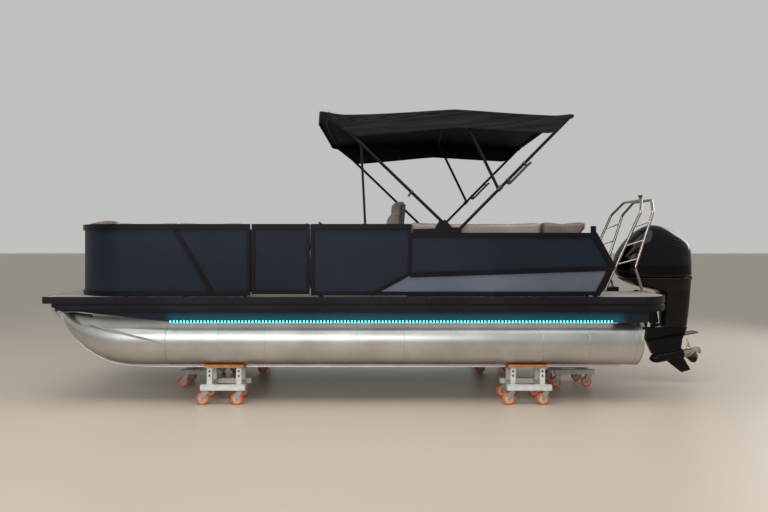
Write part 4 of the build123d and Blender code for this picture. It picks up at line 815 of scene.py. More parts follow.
# fittings on the centre log's end: a rubber band, the sounder's transducer and its arm and bracket
def makeSternFittings():
    shape = bmesh.new()
    place = facing((sternFittings["bandX"], 0, logs[2]["z"]), (-1, 0, 0))
    addTurned(shape, sternFittings["band"], place, steps=72)
    finishPiece("pod_end_band", shape, "mouldedRubber", "boat", sharp=50)
    shape = bmesh.new()
    addBlock(shape, *sternFittings["transducer"], edge=0.008, segments=3)
    addTube(shape, roundedPath(sternFittings["arm"], 0.02), sternFittings["armRadius"], sides=10,
            roll=(0, 1, 0))
    addBlock(shape, *sternFittings["bracket"], edge=0.003)
    finishPiece("sounder_transducer", shape, "mouldedPolyethylene", "boat")


makeUnderdeck()
makeSternFittings()


casters = {
    "dollies": [(2.090, 0.93), (2.090, -0.93), (-1.550, 0.93), (-1.550, -0.93), (2.585, 0.0), (-2.390, 0.0)],
    "reach": (0.203, 0.192),
    "trail": 0.040,
    "radius": 0.072,
    "half": 0.020,
    "hub": 0.046,            # where the pale centre meets the orange tread
    "nut": 0.010,
    "nutOut": 0.0305,
}


# a wheel's profile from half of it: the other half is its mirror
def mirrored(half):
    return half + [(radius, -height) for radius, height in reversed(half)]


def makeCasters():
    r, h, c = casters["radius"], casters["half"], casters["hub"]
    tread = turnedPattern(mirrored([(c - 0.002, -h + 0.004), (c + 0.003, -h + 0.0005), (r - 0.010, -h),
                                    (r - 0.003, -h + 0.005), (r - 0.0003, -0.006)]), 36)
    hub = turnedPattern(mirrored([(0.009, -h - 0.001), (0.016, -h - 0.001), (0.018, -h + 0.005),
                                  (0.036, -h + 0.008), (0.040, -h + 0.003), (c - 0.001, -h + 0.002),
                                  (c + 0.001, -h + 0.006)]), 30)
    nut = boltPattern(casters["nut"])
    treads, hubs, nuts = bmesh.new(), bmesh.new(), bmesh.new()
    places = [Vector((x + end * casters["reach"][0] + casters["trail"], y + side * casters["reach"][1], r))
              for x, y in casters["dollies"] for end in (-1, 1) for side in bothSides]
    across = [facing(place, (0, 1, 0)) for place in places]
    stamp(treads, tread, across)
    stamp(hubs, hub, across)
    for side in bothSides:
        out = Vector((0, side * casters["nutOut"], 0))
        stamp(nuts, nut, [facing(place + out, (0, side, 0)) for place in places])
    wheel = finishPiece("caster_treads", treads, "castPolyurethane", "boat", recalc=False)
    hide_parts("caster_wheels")
    finishPiece("caster_hubs", hubs, "mouldedNylon", "boat", recalc=False)
    finishPiece("caster_axle_nuts", nuts, "zincPlatedSteel", "boat", recalc=False)


dollyTrim = {
    "post": (0.176, 0.118),
    "postHalf": (0.032, 0.02),
    "bolt": [(pole, 0.0075), (0.006, 0.0068), (0.0105, 0.004), (0.0125, -0.001)],
    "boltOut": 0.0202,
    "drop": 0.050,           # the centre log's dollies carry their boards lower
    "heights": (0.385, 0.330),
    "lowest": 0.28,          # no bolt below this
    "beadZ": 0.2375,
    "bead": 0.0042,
}


# carriage bolts through the posts and weld beads at their feet
def makeDollyTrim():
    bolts, beads = bmesh.new(), bmesh.new()
    bolt = turnedPattern(dollyTrim["bolt"], 16)
    w, d = dollyTrim["postHalf"]
    for x, y in casters["dollies"]:
        drop = dollyTrim["drop"] if y == 0 else 0.0
        for end in (-1, 1):
            for side in bothSides:
                px, py = x + end * dollyTrim["post"][0], y + side * dollyTrim["post"][1]
                for height in dollyTrim["heights"]:
                    if height - drop > dollyTrim["lowest"]:
                        spot = (px, py + side * dollyTrim["boltOut"], height - drop)
                        stamp(bolts, bolt, [facing(spot, (0, side, 0))])
                loop = [Vector((px + a, py + b, dollyTrim["beadZ"]))
                        for a, b in ((-w, -d), (w, -d), (w, d), (-w, d))]
                line = [a.lerp(b, t / 3) for a, b in zip(loop, loop[1:] + loop[:1]) for t in range(3)]
                closeTube(beads, line, dollyTrim["bead"], sides=6)
    finishPiece("dolly_bolts", bolts, "mouldedRubber", "boat", recalc=False)
    finishPiece("dolly_weld_beads", beads, "whitePowderCoat", "boat", sharp=60)


makeCasters()
makeDollyTrim()
print("dolly trim made")


motor = {
    "segments": 56,
    # rings up the cowl: height, front, middle of the plan, back, half width
    "cowl": [(1.452, -3.080, -3.50, -4.044, 0.262), (1.480, -3.056, -3.50, -4.046, 0.267),
             (1.560, -3.020, -3.50, -4.046, 0.269), (1.690, -3.010, -3.50, -4.045, 0.268),
             (1.784, -3.046, -3.50, -4.043, 0.262), (1.860, -3.092, -3.51, -4.030, 0.252),
             (1.925, -3.140, -3.52, -4.003, 0.238), (1.981, -3.190, -3.53, -3.945, 0.220),
             (2.030, -3.240, -3.53, -3.875, 0.198), (2.075, -3.292, -3.52, -3.803, 0.170),
             (2.110, -3.340, -3.52, -3.741, 0.138), (2.140, -3.390, -3.52, -3.672, 0.102),
             (2.160, -3.436, -3.52, -3.606, 0.064), (2.169, -3.478, -3.52, -3.552, 0.026)],
    "lower": [(1.448, -3.078, -3.50, -4.042, 0.262), (1.400, -3.150, -3.50, -4.041, 0.252),
              (1.350, -3.262, -3.52, -4.039, 0.240), (1.312, -3.400, -3.56, -4.037, 0.216),
              (1.286, -3.520, -3.66, -4.035, 0.190), (1.262, -3.592, -3.72, -4.033, 0.176),
              (1.210, -3.622, -3.74, -4.031, 0.163), (1.050, -3.634, -3.76, -4.021, 0.136),
              (0.930, -3.637, -3.77, -4.008, 0.116), (0.812, -3.638, -3.78, -3.996, 0.098),
              (0.786, -3.634, -3.78, -3.990, 0.093)],
    "frontPower": 2.7,
    "backPower": 2.15,
    "seam": (1.450, -3.081, -3.50, -4.0405, 0.2605),
    "seamRadius": 0.0045,
    "kingPin": ((-3.520, 0, 1.000), 10.5),       # a point on the steering axis and its rake in degrees
    # foot, head and radius of the two knuckles and of the pin through them
    "knuckles": [(1.142, 1.178, 0.056), (0.786, 0.826, 0.056), (0.792, 1.170, 0.0197)],
    "arms": [(1.154, 1.176), (0.798, 0.824)],
    "armSize": (0.20, 0.05),
    "ventRadius": 0.0042,
    "latch": [(-4.054, -0.045, 1.425), (-4.036, 0.045, 1.470)],
    "screws": [(-3.50, 1.40), (-3.80, 1.40), (-3.95, 1.40), (-3.75, 1.06), (-3.92, 1.06), (-3.75, 0.86),
               (-3.90, 0.86)],
    "clampBolts": [(-3.352, 0.150, z) for z in (0.80, 0.88, 1.10, 1.17)],
    "tiltBolt": (-3.372, 0.160, 1.238),
}


# shapes one ring: full and square ahead of the middle, rounder and narrowing behind it
def shapeRing(verts, height, front, middle, back, half):
    for vert in verts:
        angle = math.atan2(vert.co.y, vert.co.x)
        c, s = math.cos(angle), math.sin(angle)
        power = 2 / (motor["frontPower"] if c > 0 else motor["backPower"])
        length = front - middle if c > 0 else middle - back
        vert.co = Vector((middle + length * math.copysign(abs(c) ** power, c),
                          half * math.copysign(abs(s) ** power, s), height))


def addRing(shape, station):
    ring = bmesh.ops.create_circle(shape, cap_ends=False, segments=motor["segments"], radius=1.0)["verts"]
    shapeRing(ring, *station)
    return ring


def ringedShell(stations):
    shape = bmesh.new()
    last = None
    for station in stations:
        ring = addRing(shape, station)
        edges = list({edge for vert in ring for edge in vert.link_edges})
        if last:
            bmesh.ops.bridge_loops(shape, edges=last + edges)
        else:
            bmesh.ops.contextual_create(shape, geom=edges)
        last = edges
    bmesh.ops.contextual_create(shape, geom=last)
    return shape


def makeMotor():
    shape = ringedShell(motor["cowl"])
    cover = finishPiece("motor_cowl", shape, "lacqueredEnamel", "outboard", sharp=50)
    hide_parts("cowl")
    smooth = cover.modifiers.new("smoothing", "SUBSURF")
    smooth.levels = smooth.render_levels = 1

    shape = ringedShell(motor["lower"])
    lower = finishPiece("motor_midsection", shape, "mouldedComposite", "outboard", sharp=50)
    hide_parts("motor_leg")

    # yokes and king pin that carry the swivel bracket
    shape = bmesh.new()
    foot, rake = Vector(motor["kingPin"][0]), math.radians(motor["kingPin"][1])
    steer = Vector((math.sin(rake), 0, math.cos(rake)))
    for low, high, reach in motor["knuckles"]:
        start = foot + steer * ((low - foot.z) / steer.z)
        length = (high - low) / steer.z
        addTurned(shape, [(pole, 0), (reach - 0.003, 0), (reach, 0.003), (reach, length - 0.003),
                          (reach - 0.003, length), (pole, length)], facing(start, steer), steps=30)
    long, half = motor["armSize"]
    for low, high in motor["arms"]:
        x = (foot + steer * ((low - foot.z - 0.012) / steer.z)).x
        addBlock(shape, (x - long, -half, low), (x, half, high), edge=0.006)
    finishPiece("motor_yokes", shape, "castEnamel", "outboard")

    # rubber in the joint
    shape = bmesh.new()
    middle = motor["seam"][2]
    path = sorted((vert.co.copy() for vert in addRing(shape, motor["seam"])),
                  key=lambda p: math.atan2(p.y, p.x - middle))
    shape.clear()
    closeTube(shape, path, motor["seamRadius"], sides=8)
    finishPiece("cowl_gasket", shape, "mouldedRubber", "outboard", sharp=80)

    # vents high on the sides, laid on the cowl's surface
    cowlTree = BVHTree.FromObject(cover, bpy.context.evaluated_depsgraph_get())
    shape = bmesh.new()
    for side in bothSides:
        for row in range(3):
            points = []
            for step in range(9):
                t = step / 8
                target = Vector((-3.70 - 0.20 * t, side * 0.5, 1.975 - 0.035 * row - 0.05 * t))
                hit = cowlTree.ray_cast(target, Vector((0, -side, 0)))
                if hit[0]:
                    points.append(hit[0] + hit[1] * 0.0008)
            if len(points) > 3:
                addTube(shape, points, motor["ventRadius"], sides=8)
    # a latch at the back of the seam
    addBlock(shape, *motor["latch"], edge=0.005)
    finishPiece("cowl_vents", shape, "mouldedRubber", "outboard", sharp=60)

    # screws along the midsection's joints
    tree = BVHTree.FromObject(lower, bpy.context.evaluated_depsgraph_get())
    shape = bmesh.new()
    screw = screwPattern(0.008)
    for side in bothSides:
        for x, z in motor["screws"]:
            hit = tree.ray_cast(Vector((x, side * 0.6, z)), Vector((0, -side, 0)))
            if hit[0]:
                stamp(shape, screw, [facing(hit[0], hit[1])])
    finishPiece("midsection_screws", shape, "castEnamel", "outboard", recalc=False)

    # bolts that clamp the bracket to the pod, and the ends of the tilt tube
    shape = bmesh.new()
    bolt = boltPattern(0.012)
    for side in bothSides:
        stamp(shape, bolt, [facing((x, side * y, z), (-1, 0, 0)) for x, y, z in motor["clampBolts"]])
        x, y, z = motor["tiltBolt"]
        stamp(shape, bolt, [facing((x, side * y, z), (0, side, 0))])
    finishPiece("clamp_bolts", shape, "castStainless", "boat", recalc=False)


makeMotor()
print("outboard made")


pads = {
    "shrink": 0.012,         # the foam starts this much inside its cover on the padded side
    "endShrink": 0.003,
    "voxel": 0.026,
    "fineVoxel": 0.019,
    "fineNodes": ("helm_seat_cushions", "bow_bolsters"),
    "pressure": 4.0,
    "frames": 20,
    "cap": 0.026,            # furthest that the simulation may push a point
    "welt": 0.0048,
    "seamIn": 0.026,         # the welt's distance from the face
    "channelDepth": 0.007,
    "channelWidth": 0.011,
    "seatZ": (1.6455, 1.80),
    "backZ": (1.6465, 2.20),
    "lap": 1.765,            # height up to which a lapped back stands behind its seat
    "lapEase": 0.04,
    "lapY": 1.0462,
    "lapX": -2.0065,
    "overRail": 0.038,
    "overRailZ": (2.050, 0.05),      # where the roll over the rail begins, and the height that it takes
    "overRailX": (-1.95, 0.22),
    "crownZ": (1.95, 0.15),          # where the crown begins to rise, and the height that it takes
    "crown": {"bow_back_cushions": 0.014, "bow_bolsters": 0.004},
}
# low and high: the room of each pad; face: the axis of its padded side; lap: its foot stands behind a seat
padList = []


def addPad(name, node, ends, sides, heights, face, side=1, vinyl="taupeVinyl", channels=(), **more):
    low, high = zip(ends, sides, heights)
    padList.append(dict(name=name, node=node, low=low, high=high, face=face, side=side, vinyl=vinyl,
                        channels=channels, **more))


def seatPad(name, node, ends, sides, channels, side=1):
    addPad(name, node, ends, sides, pads["seatZ"], 2, side, channels=channels)


def backPad(name, node, ends, sides, face, lap=False, vinyl="umberVinyl", channels=(), side=1):
    addPad(name, node, ends, sides, pads["backZ"], face, side, vinyl, channels, lap=lap)


for side, name in ((1, "port"), (-1, "starboard")):
    seatPad("bow_seat_aft_" + name, "bow_seat_cushions", (1.80, 2.8185), (0.48, 1.0445), [2.18, 2.50], side)
    seatPad("bow_seat_fore_" + name, "bow_seat_cushions", (2.8215, 3.81), (0.48, 1.0445), [3.14, 3.46], side)
    backPad("bow_back_aft_" + name, "bow_back_cushions", (1.80, 2.6105), (1.02, 1.2180), 1, True,
            "taupeVinyl", [2.12, 2.37], side)
    backPad("bow_back_fore_" + name, "bow_back_cushions", (2.6130, 3.3705), (1.02, 1.2180), 1, True,
            "taupeVinyl", [2.87, 3.12], side)
    addPad("bow_bolster_" + name, "bow_bolsters", (3.3735, 3.81), (0.95, 1.2180), (1.7565, 2.22), 1, side,
           "umberVinyl")
seatPad("stern_seat_aft", "stern_seat_cushions", (-2.0055, -1.0715), (0.5795, 1.0445), [-1.70, -1.38])
seatPad("stern_seat_fore", "stern_seat_cushions", (-1.0685, -0.10), (0.55, 1.0445), [-0.76, -0.44])
seatPad("stern_seat_cross", "stern_seat_cushions", (-2.0055, -1.51), (-0.35, 0.5785), [])
backPad("stern_back_long", "stern_back_cushion", (-1.6805, -0.10), (1.02, 1.2180), 1, True, "taupeVinyl",
        [-0.52, -0.91, -1.30])
backPad("stern_corner_side", "stern_corner_cushions", (-2.18, -1.6840), (1.0462, 1.2180), 1)
backPad("stern_corner_port", "stern_corner_cushions", (-2.18, -1.98), (0.3615, 1.0445), 0, True)
backPad("stern_corner_middle", "stern_corner_cushions", (-2.18, -1.98), (-0.35, 0.3585), 0, True)
# the helm seat's two pads turn with it; the back is the CAD cushion that reaches highest
addPad("helm_seat_pad", "helm_seat_cushions", (0.0295, 0.46), (-0.90, -0.30), (1.7665, 1.8672), 2,
       channels=[0.17], body="helm_seat")
addPad("helm_back_pad", "helm_seat_cushions", (-0.22, 0.30), (-0.90, -0.30), (1.7665, 2.60), 0,
       body="helm_seat", highest=True)


# the vertices of each loose body
def splitLoose(shape):
    left = set(shape.verts)
    groups = []
    while left:
        stack = [left.pop()]
        group = list(stack)
        while stack:
            for edge in stack.pop().link_edges:
                for other in edge.verts:
                    if other in left:
                        left.remove(other)
                        stack.append(other)
                        group.append(other)
        groups.append(group)
    return groups


# the part of a CAD cushion that lies in the pad's room, a little smaller, as an even net of squares
def cutPad(pad):
    shape = bmesh.new()
    shape.from_mesh(nodes[pad["node"]].data)
    bmesh.ops.remove_doubles(shape, verts=shape.verts, dist=0.00005)
    if pad.get("highest"):
        groups = splitLoose(shape)
        keep = max(groups, key=lambda group: max(vert.co.z for vert in group))
        bmesh.ops.delete(shape, geom=[vert for group in groups if group is not keep for vert in group],
                         context="VERTS")
    else:
        low, high = padRoom(pad)
        for axis in range(3):
            for limit, sign in ((low[axis], -1), (high[axis], 1)):
                normal = Vector((0, 0, 0))
                normal[axis] = sign
                cut = bmesh.ops.bisect_plane(shape, geom=shape.verts[:] + shape.edges[:] + shape.faces[:],
                                             plane_co=Vector((limit, limit, limit)), plane_no=normal,
                                             clear_outer=True)
                edges = [part for part in cut["geom_cut"] if isinstance(part, bmesh.types.BMEdge)]
                if edges:
                    bmesh.ops.contextual_create(shape, geom=edges)
    spread = [[vert.co[i] for vert in shape.verts] for i in range(3)]
    corners = [(min(values), max(values)) for values in spread]
    middle = Vector([(a + b) / 2 for a, b in corners])
    less = [pads["shrink"] if axis == pad["face"] else pads["endShrink"] for axis in range(3)]
    scale = [(b - a - 2 * taken) / (b - a) for (a, b), taken in zip(corners, less)]
    for vert in shape.verts:
        vert.co = middle + Vector([(vert.co[i] - middle[i]) * scale[i] for i in range(3)])
    bmesh.ops.recalc_face_normals(shape, faces=shape.faces)
    blank = placeShape("padBlank", shape)
    net = blank.modifiers.new("net", "REMESH")
    net.mode = "VOXEL"
    net.voxel_size = pads["fineVoxel"] if pad["node"] in pads["fineNodes"] else pads["voxel"]
    done = bpy.data.meshes.new_from_object(blank.evaluated_get(bpy.context.evaluated_depsgraph_get()))
    bpy.data.objects.remove(blank)
    return done


def padRoom(pad):
    low, high = list(pad["low"]), list(pad["high"])
    if pad["side"] < 0:
        low[1], high[1] = -pad["high"][1], -pad["low"][1]
    return low, high


# one cloth run swells all the pads together; each point may go no further than the cap
def swellPads(blanks):
    shape = bmesh.new()
    for blank in blanks:
        shape.from_mesh(blank)
    foam = placeShape("padFoam", shape)
    start = [vert.co.copy() for vert in foam.data.vertices]
    cloth = foam.modifiers.new("foam", "CLOTH")
    cloth.settings.quality = 4
    cloth.settings.use_pressure = True
    cloth.settings.uniform_pressure_force = pads["pressure"]
    cloth.settings.effector_weights.gravity = 0
    cloth.collision_settings.use_collision = False
    cloth.point_cache.frame_start = 1
    cloth.point_cache.frame_end = pads["frames"]
    for frameNumber in range(1, pads["frames"] + 1):
        bpy.context.scene.frame_set(frameNumber)
    swollen = bpy.data.meshes.new_from_object(foam.evaluated_get(bpy.context.evaluated_depsgraph_get()))
    ended = []
    for before, vert in zip(start, swollen.vertices):
        step = vert.co - before
        reach = step.length
        share = pads["cap"] * math.tanh(reach / pads["cap"]) / reach if reach > 0 else 1
        ended.append(before + step * share)
    bpy.context.scene.frame_set(1)
    bpy.data.objects.remove(foam)
    return ended


# the longest closed line where a plane cuts the pad, thinned and smoothed
def seamLine(shape, axis, place):
    cut = shape.copy()
    normal = Vector((0, 0, 0))
    normal[axis] = 1
    made = bmesh.ops.bisect_plane(cut, geom=cut.verts[:] + cut.edges[:] + cut.faces[:],
                                  plane_co=normal * place, plane_no=normal)
    # taken in the cut's own order, so that a loop starts at the same place in each run
    ordered = [part for part in made["geom_cut"] if isinstance(part, bmesh.types.BMEdge)]
    edges = set(ordered)
    loops = []
    for edge in ordered:
        if edge not in edges:
            continue
        edges.remove(edge)
        line = [edge.verts[0], edge.verts[1]]
        while True:
            onward = [link for link in line[-1].link_edges if link in edges]
            if not onward:
                break
            edges.remove(onward[0])
            line.append(onward[0].other_vert(line[-1]))
        loops.append([vert.co.copy() for vert in line[:-1]])
    cut.free()
    longest = max(loops, key=len)
    thinned = longest[::2]
    before, after = thinned[-1:] + thinned[:-1], thinned[1:] + thinned[:1]
    return [(a + b * 2 + c) / 4 for a, b, c in zip(before, thinned, after)]


def relax(shape):
    bmesh.ops.smooth_vert(shape, verts=shape.verts, factor=0.5, use_axis_x=True, use_axis_y=True,
                          use_axis_z=True)


def clamped(value):
    return min(1.0, max(0.0, value))


def makePads():
    blanks = [cutPad(pad) for pad in padList]
    swollen = swellPads(blanks)
    made = {}
    welts = {"boat": bmesh.new(), "helm_seat": bmesh.new()}
    first = 0
    for pad, blank in zip(padList, blanks):
        count = len(blank.vertices)
        low, high = padRoom(pad)
        shape = bmesh.new()
        shape.from_mesh(blank)
        shape.verts.ensure_lookup_table()
        for vert, spot in zip(shape.verts, swollen[first:first + count]):
            vert.co = spot
        first += count
        relax(shape)
        bmesh.ops.subdivide_edges(shape, edges=shape.edges, cuts=1, use_grid_fill=True, smooth=0.6)
        relax(shape)
        shape.normal_update()
        # sewn channels across the padded face
        inward = {0: Vector((-1, 0, 0)), 1: Vector((0, pad["side"], 0)), 2: Vector((0, 0, -1))}[pad["face"]]
        for vert in shape.verts:
            exposed = max(0.0, -vert.normal.dot(inward))
            top = max(0.0, vert.normal.z) if pad["face"] == 1 else 0.0
            for place in pad["channels"]:
                press = math.exp(-((vert.co.x - place) / pads["channelWidth"]) ** 2)
                pull = inward * min(1.0, exposed * 1.5) - Vector((0, 0, 0.7 * top))
                vert.co += press * pads["channelDepth"] * pull
        for vert in shape.verts:
            for i in range(3):
                vert.co[i] = min(high[i] - 0.0005, max(low[i] + 0.0005, vert.co[i]))
            if pad.get("lap"):
                # its foot stands behind the seat pad
                ease = clamped((pads["lap"] + pads["lapEase"] - vert.co.z) / pads["lapEase"])
                if ease > 0 and pad["face"] == 1:
                    kept = max(abs(vert.co.y), pads["lapY"])
                    vert.co.y = pad["side"] * (abs(vert.co.y) * (1 - ease) + kept * ease)
                elif ease > 0:
                    vert.co.x = vert.co.x * (1 - ease) + min(vert.co.x, pads["lapX"]) * ease
            if pad["node"] in pads["crown"]:
                # the crown of its top stands a little above the frame
                start, span = pads["crownZ"]
                rise = clamped((vert.co.z - start) / span)
                vert.co.z += pads["crown"][pad["node"]] * rise * rise * (3 - 2 * rise)
            if pad["node"] == "stern_corner_cushions":
                # its top rolls out over the stern rail
                start, span = pads["overRailZ"]
                rise = clamped((vert.co.z - start) / span)
                start, span = pads["overRailX"]
                back = clamped((start - vert.co.x) / span)
                vert.co.x -= pads["overRail"] * rise * rise * (3 - 2 * rise) * back
        body = pad.get("body", "boat")
        if not pad.get("highest"):
            # welt round the face's edge
            axis = pad["face"]
            values = [vert.co[axis] for vert in shape.verts]
            inner = axis == 1 and pad["side"] > 0
            place = min(values) + pads["seamIn"] if inner else max(values) - pads["seamIn"]
            roll = [(1, 0, 0), (0, 1, 0), (0, 0, 1)][axis]
            closeTube(welts[body], seamLine(shape, axis, place), pads["welt"], sides=7, roll=roll)
        piece = finishPiece(pad["name"], shape, pad["vinyl"], body, sharp=180)
        made.setdefault(pad["node"], piece)
    for node, piece in made.items():
        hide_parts(node)
    for body, shape in welts.items():
        finishPiece("welts_" + body, shape, "weltVinyl", body, sharp=80)


makePads()
print("cushions made")


# each bow of the canopy: pivot X and Z, angle from the bow direction, half width and length of its sleeve;
# for the cloth: distance to it at the middle, fall a metre out, lip past the bow, drop of the hem
bows = {
    "rear": {"pivot": (-0.697, 2.077), "angle": 134.6, "half": 1.25, "sleeve": 1.88, "peak": 2.057,
             "slope": 0.1161, "lip": 0.020, "drop": 0.212},
    "middle": {"pivot": (-1.1752, 2.5619), "angle": 64.2, "half": 1.17, "sleeve": 1.01, "peak": 1.189,
               "slope": 0.125, "lip": 0.055, "drop": 0.222},
    "front": {"pivot": (-0.506, 2.167), "angle": 43.9, "half": 1.25, "sleeve": 1.85, "peak": 2.027,
              "slope": 0.1161, "lip": 0.066, "drop": 0.270},
}
bimini = {
    "y": 1.25,
    "bar": (0.79, 1.11),     # the lock bar's ends along the rear leg
    "barGap": 0.042,
    "barRadius": 0.014,
    "stub": 0.505,
    "stubReach": (0.016, 0.062),
    "stubRadius": 0.012,
    "boltY": 1.2765,
    "strutFoot": (0.400, 1.208, 2.167),
    "strutTop": (0.447, 1.208, 3.084),
    "mountScrews": [(x, 1.2762, 2.058) for x in (-0.19, -0.30, -0.42, -0.56, -0.69)],
    "barCollar": (0.0182, 0.0225, 0.017),        # bore, radius and half height
    "stubCollar": (0.0182, 0.022, 0.016),
    "jaw": (0.0232, 0.0265, 0.034),
    "cup": [(pole, -0.012), (0.015, -0.012), (0.0165, -0.009), (0.0165, 0.002), (0.0143, 0.004)],
    "cupRise": 0.012,
    "sleeveRadius": 0.0215,
    "pucker": 0.0016,
    "puckerAcross": 22.0,
    "puckerAround": 9.0,
}


# a point beside a leg, and the way that the leg runs
def legPoint(leg, along, out=0.0, y=0.0):
    angle = math.radians(bows[leg]["angle"])
    way = Vector((math.cos(angle), 0, math.sin(angle)))
    side = Vector((-way.z, 0, way.x)) if leg == "rear" else Vector((way.z, 0, -way.x))
    pivot = Vector((bows[leg]["pivot"][0], y, bows[leg]["pivot"][1]))
    return pivot + way * along + side * out, way


# a collar round a tube, given its bore, its outer radius and half its height
def addCollar(shape, place, bore, radius, half):
    addTurned(shape, [(bore, -half), (radius, 0.002 - half), (radius, half - 0.002), (bore, half)], place,
              steps=24)


def makeBiminiFittings():
    shape = bmesh.new()
    for side in bothSides:
        y = side * bimini["y"]
        start, end = bimini["bar"]
        gap = bimini["barGap"]
        line = [legPoint("rear", start, 0.012, y)[0], legPoint("rear", start + 0.004, gap, y)[0],
                legPoint("rear", end, gap, y)[0], legPoint("rear", end + 0.045, gap + 0.006, y)[0]]
        addTube(shape, roundedPath(line, 0.02), bimini["barRadius"], sides=12, roll=(0, 1, 0))
        for along in (start + 0.03, end - 0.02):
            spot, way = legPoint("rear", along, 0.0, y)
            addCollar(shape, facing(spot, way), *bimini["barCollar"])
            middle = legPoint("rear", along, gap / 2, y)[0]
            half = Vector((0.013, 0.008, gap / 2 - 0.006))
            addBlock(shape, middle - half, middle + half, edge=0.002,
                     turn=facing((0, 0, 0), way.cross((0, 1, 0))))
        # jaw that carries the middle bow's foot
        x, z = bows["middle"]["pivot"]
        addCollar(shape, facing((x, y, z), way), *bimini["jaw"])
    finishPiece("rear_leg_fittings", shape, "mouldedAbs", "rear_bow")

    # the front legs' stubs stick out below the sleeves
    shape = bmesh.new()
    near, far = bimini["stubReach"]
    for side in bothSides:
        y = side * bimini["y"]
        spot, way = legPoint("front", bimini["stub"], near, y)
        tip = legPoint("front", bimini["stub"] - 0.008, far, y)[0]
        addTube(shape, [spot, spot.lerp(tip, 0.9), tip], bimini["stubRadius"], sides=12, roll=(0, 1, 0))
        addCollar(shape, facing(legPoint("front", bimini["stub"], 0.0, y)[0], way), *bimini["stubCollar"])
    finishPiece("front_leg_stubs", shape, "mouldedAbs", "front_bow")

    # black bolt heads at the pivots, cups at the struts' feet, and the screws of the long mount on the rail
    shape = bmesh.new()
    bolt = boltPattern(0.009)
    screw = screwPattern(0.0055)
    foot, top = Vector(bimini["strutFoot"]), Vector(bimini["strutTop"])
    for side in bothSides:
        for leg in ("rear", "front"):
            stamp(shape, bolt, [facing(legPoint(leg, 0.0, 0.0, side * bimini["boltY"])[0], (0, side, 0))])
        place = facing((foot.x, side * foot.y, foot.z + bimini["cupRise"]), top - foot)
        addTurned(shape, bimini["cup"], place, steps=24)
        stamp(shape, screw, [facing((x, side * y, z), (0, side, 0)) for x, y, z in bimini["mountScrews"]])
    finishPiece("canopy_mount_screws", shape, "castEnamel", "boat", recalc=False)

    # cloth sleeves that hold the cover on its bows
    for name, bow in bows.items():
        base, way = legPoint(name, 0.0)
        half, length = bow["half"] - 0.16, bow["sleeve"]
        path = [base + Vector((0, y, 0)) + way * reach
                for y, reach in ((-half, length + 0.024), (0, length + 0.147), (half, length + 0.024))]
        shape = bmesh.new()
        line = roundedPath(path, 0.2, steps=10)
        even = []
        for first, second in zip(line, line[1:]):
            steps = max(1, int((second - first).length / 0.06))
            even += [first.lerp(second, i / steps) for i in range(steps)]
        addTube(shape, even + [line[-1]], bimini["sleeveRadius"], sides=14, roll=way)
        bmesh.ops.recalc_face_normals(shape, faces=shape.faces)
        across, around = bimini["puckerAcross"], bimini["puckerAround"]
        for vert in shape.verts:
            x, y, z = vert.co
            pucker = noise.noise(Vector((y * across, x * around, z * around + bow["angle"])))
            vert.co += vert.normal * bimini["pucker"] * pucker
        finishPiece("canopy_sleeve_" + name, shape, "wovenAcrylic", name + "_bow", sharp=80)


helm = {
    "y": -0.60,
    "foot": (0.990, deck + 0.640),
    "top": (1.090, deck + 0.850),
    "dash": (0.0, 0.116, (0.70, 0.205, 0.006)),        # middle on the dash's face, and size
    "screen": (0.185, 0.116, (0.245, 0.170, 0.020)),
    "glass": (0.185, 0.118, (0.205, 0.132, 0.0035)),
    "glassOut": 0.0185,
    "gauges": [(-0.235, 0.115, 0.042), (-0.135, 0.115, 0.042), (-0.235, 0.035, 0.026),
               (-0.160, 0.035, 0.026)],
    "ring": [(-0.006, 0.004), (-0.005, 0.012), (0.0, 0.011), (0.002, 0.0)],      # past the gauge's radius
    "dialOut": 0.004,
    "switches": 6,
    "switchStep": 0.032,
    "switch": (-0.075, 0.022, (0.022, 0.016, 0.012)),
    "throttle": [(0.985, -0.985, deck + 0.60), (1.075, -0.925, deck + 0.72)],
    "lever": [(1.03, -0.925, deck + 0.67), (1.025, -0.900, deck + 0.68), (0.995, -0.890, deck + 0.76),
              (0.985, -0.888, deck + 0.80)],
    "leverRadius": 0.009,
    "knob": [(pole, -0.004), (0.012, 0.0), (0.017, 0.020), (0.016, 0.050), (0.008, 0.062), (pole, 0.064)],
    "knobLean": -0.2,
    "cupHolders": (1.185, (-0.36, -0.84)),
    "cup": [(pole, 0.0012), (0.036, 0.0012), (0.0365, 0.0035), (0.047, 0.0045), (0.049, 0.0)],
    "grabRail": (1.235, (-0.90, -0.30), 0.055, 0.0125),      # X, ends across, height, radius
    "door": [(1.13, -0.2215, deck + 0.07), (1.47, -0.2165, deck + 0.52)],
    "doorPull": (1.17, -0.2165, deck + 0.32),
    "pull": [(pole, 0.002), (0.016, 0.002), (0.018, 0.005), (0.026, 0.004), (0.028, 0.0)],
    "doorHinge": [(1.475, -0.217, deck + 0.075), (1.475, -0.217, deck + 0.515)],
    "hingeRadius": 0.0035,
    "wheel": (0.955, -0.60, 2.109),
    "wheelRake": 45,
    "cap": [(pole, 0.021), (0.020, 0.0205), (0.031, 0.017), (0.036, 0.012), (0.036, 0.004), (0.030, 0.0)],
    "grip": 0.1483,
    "stitches": 120,
    "stitch": (0.009, 0.0024, 0.0024),
}


# a placement on the dash: u towards port, v up its slope, out of its face
def dashPlace(u, v, out=0.0):
    foot = Vector((helm["foot"][0], helm["y"], helm["foot"][1]))
    up = (Vector((helm["top"][0], helm["y"], helm["top"][1])) - foot).normalized()
    across, away = Vector((0, 1, 0)), Vector((-up.z, 0, up.x))
    placement = Matrix((across, up, away)).transposed().to_4x4()
    placement.translation = foot + across * u + up * v + away * out
    return placement


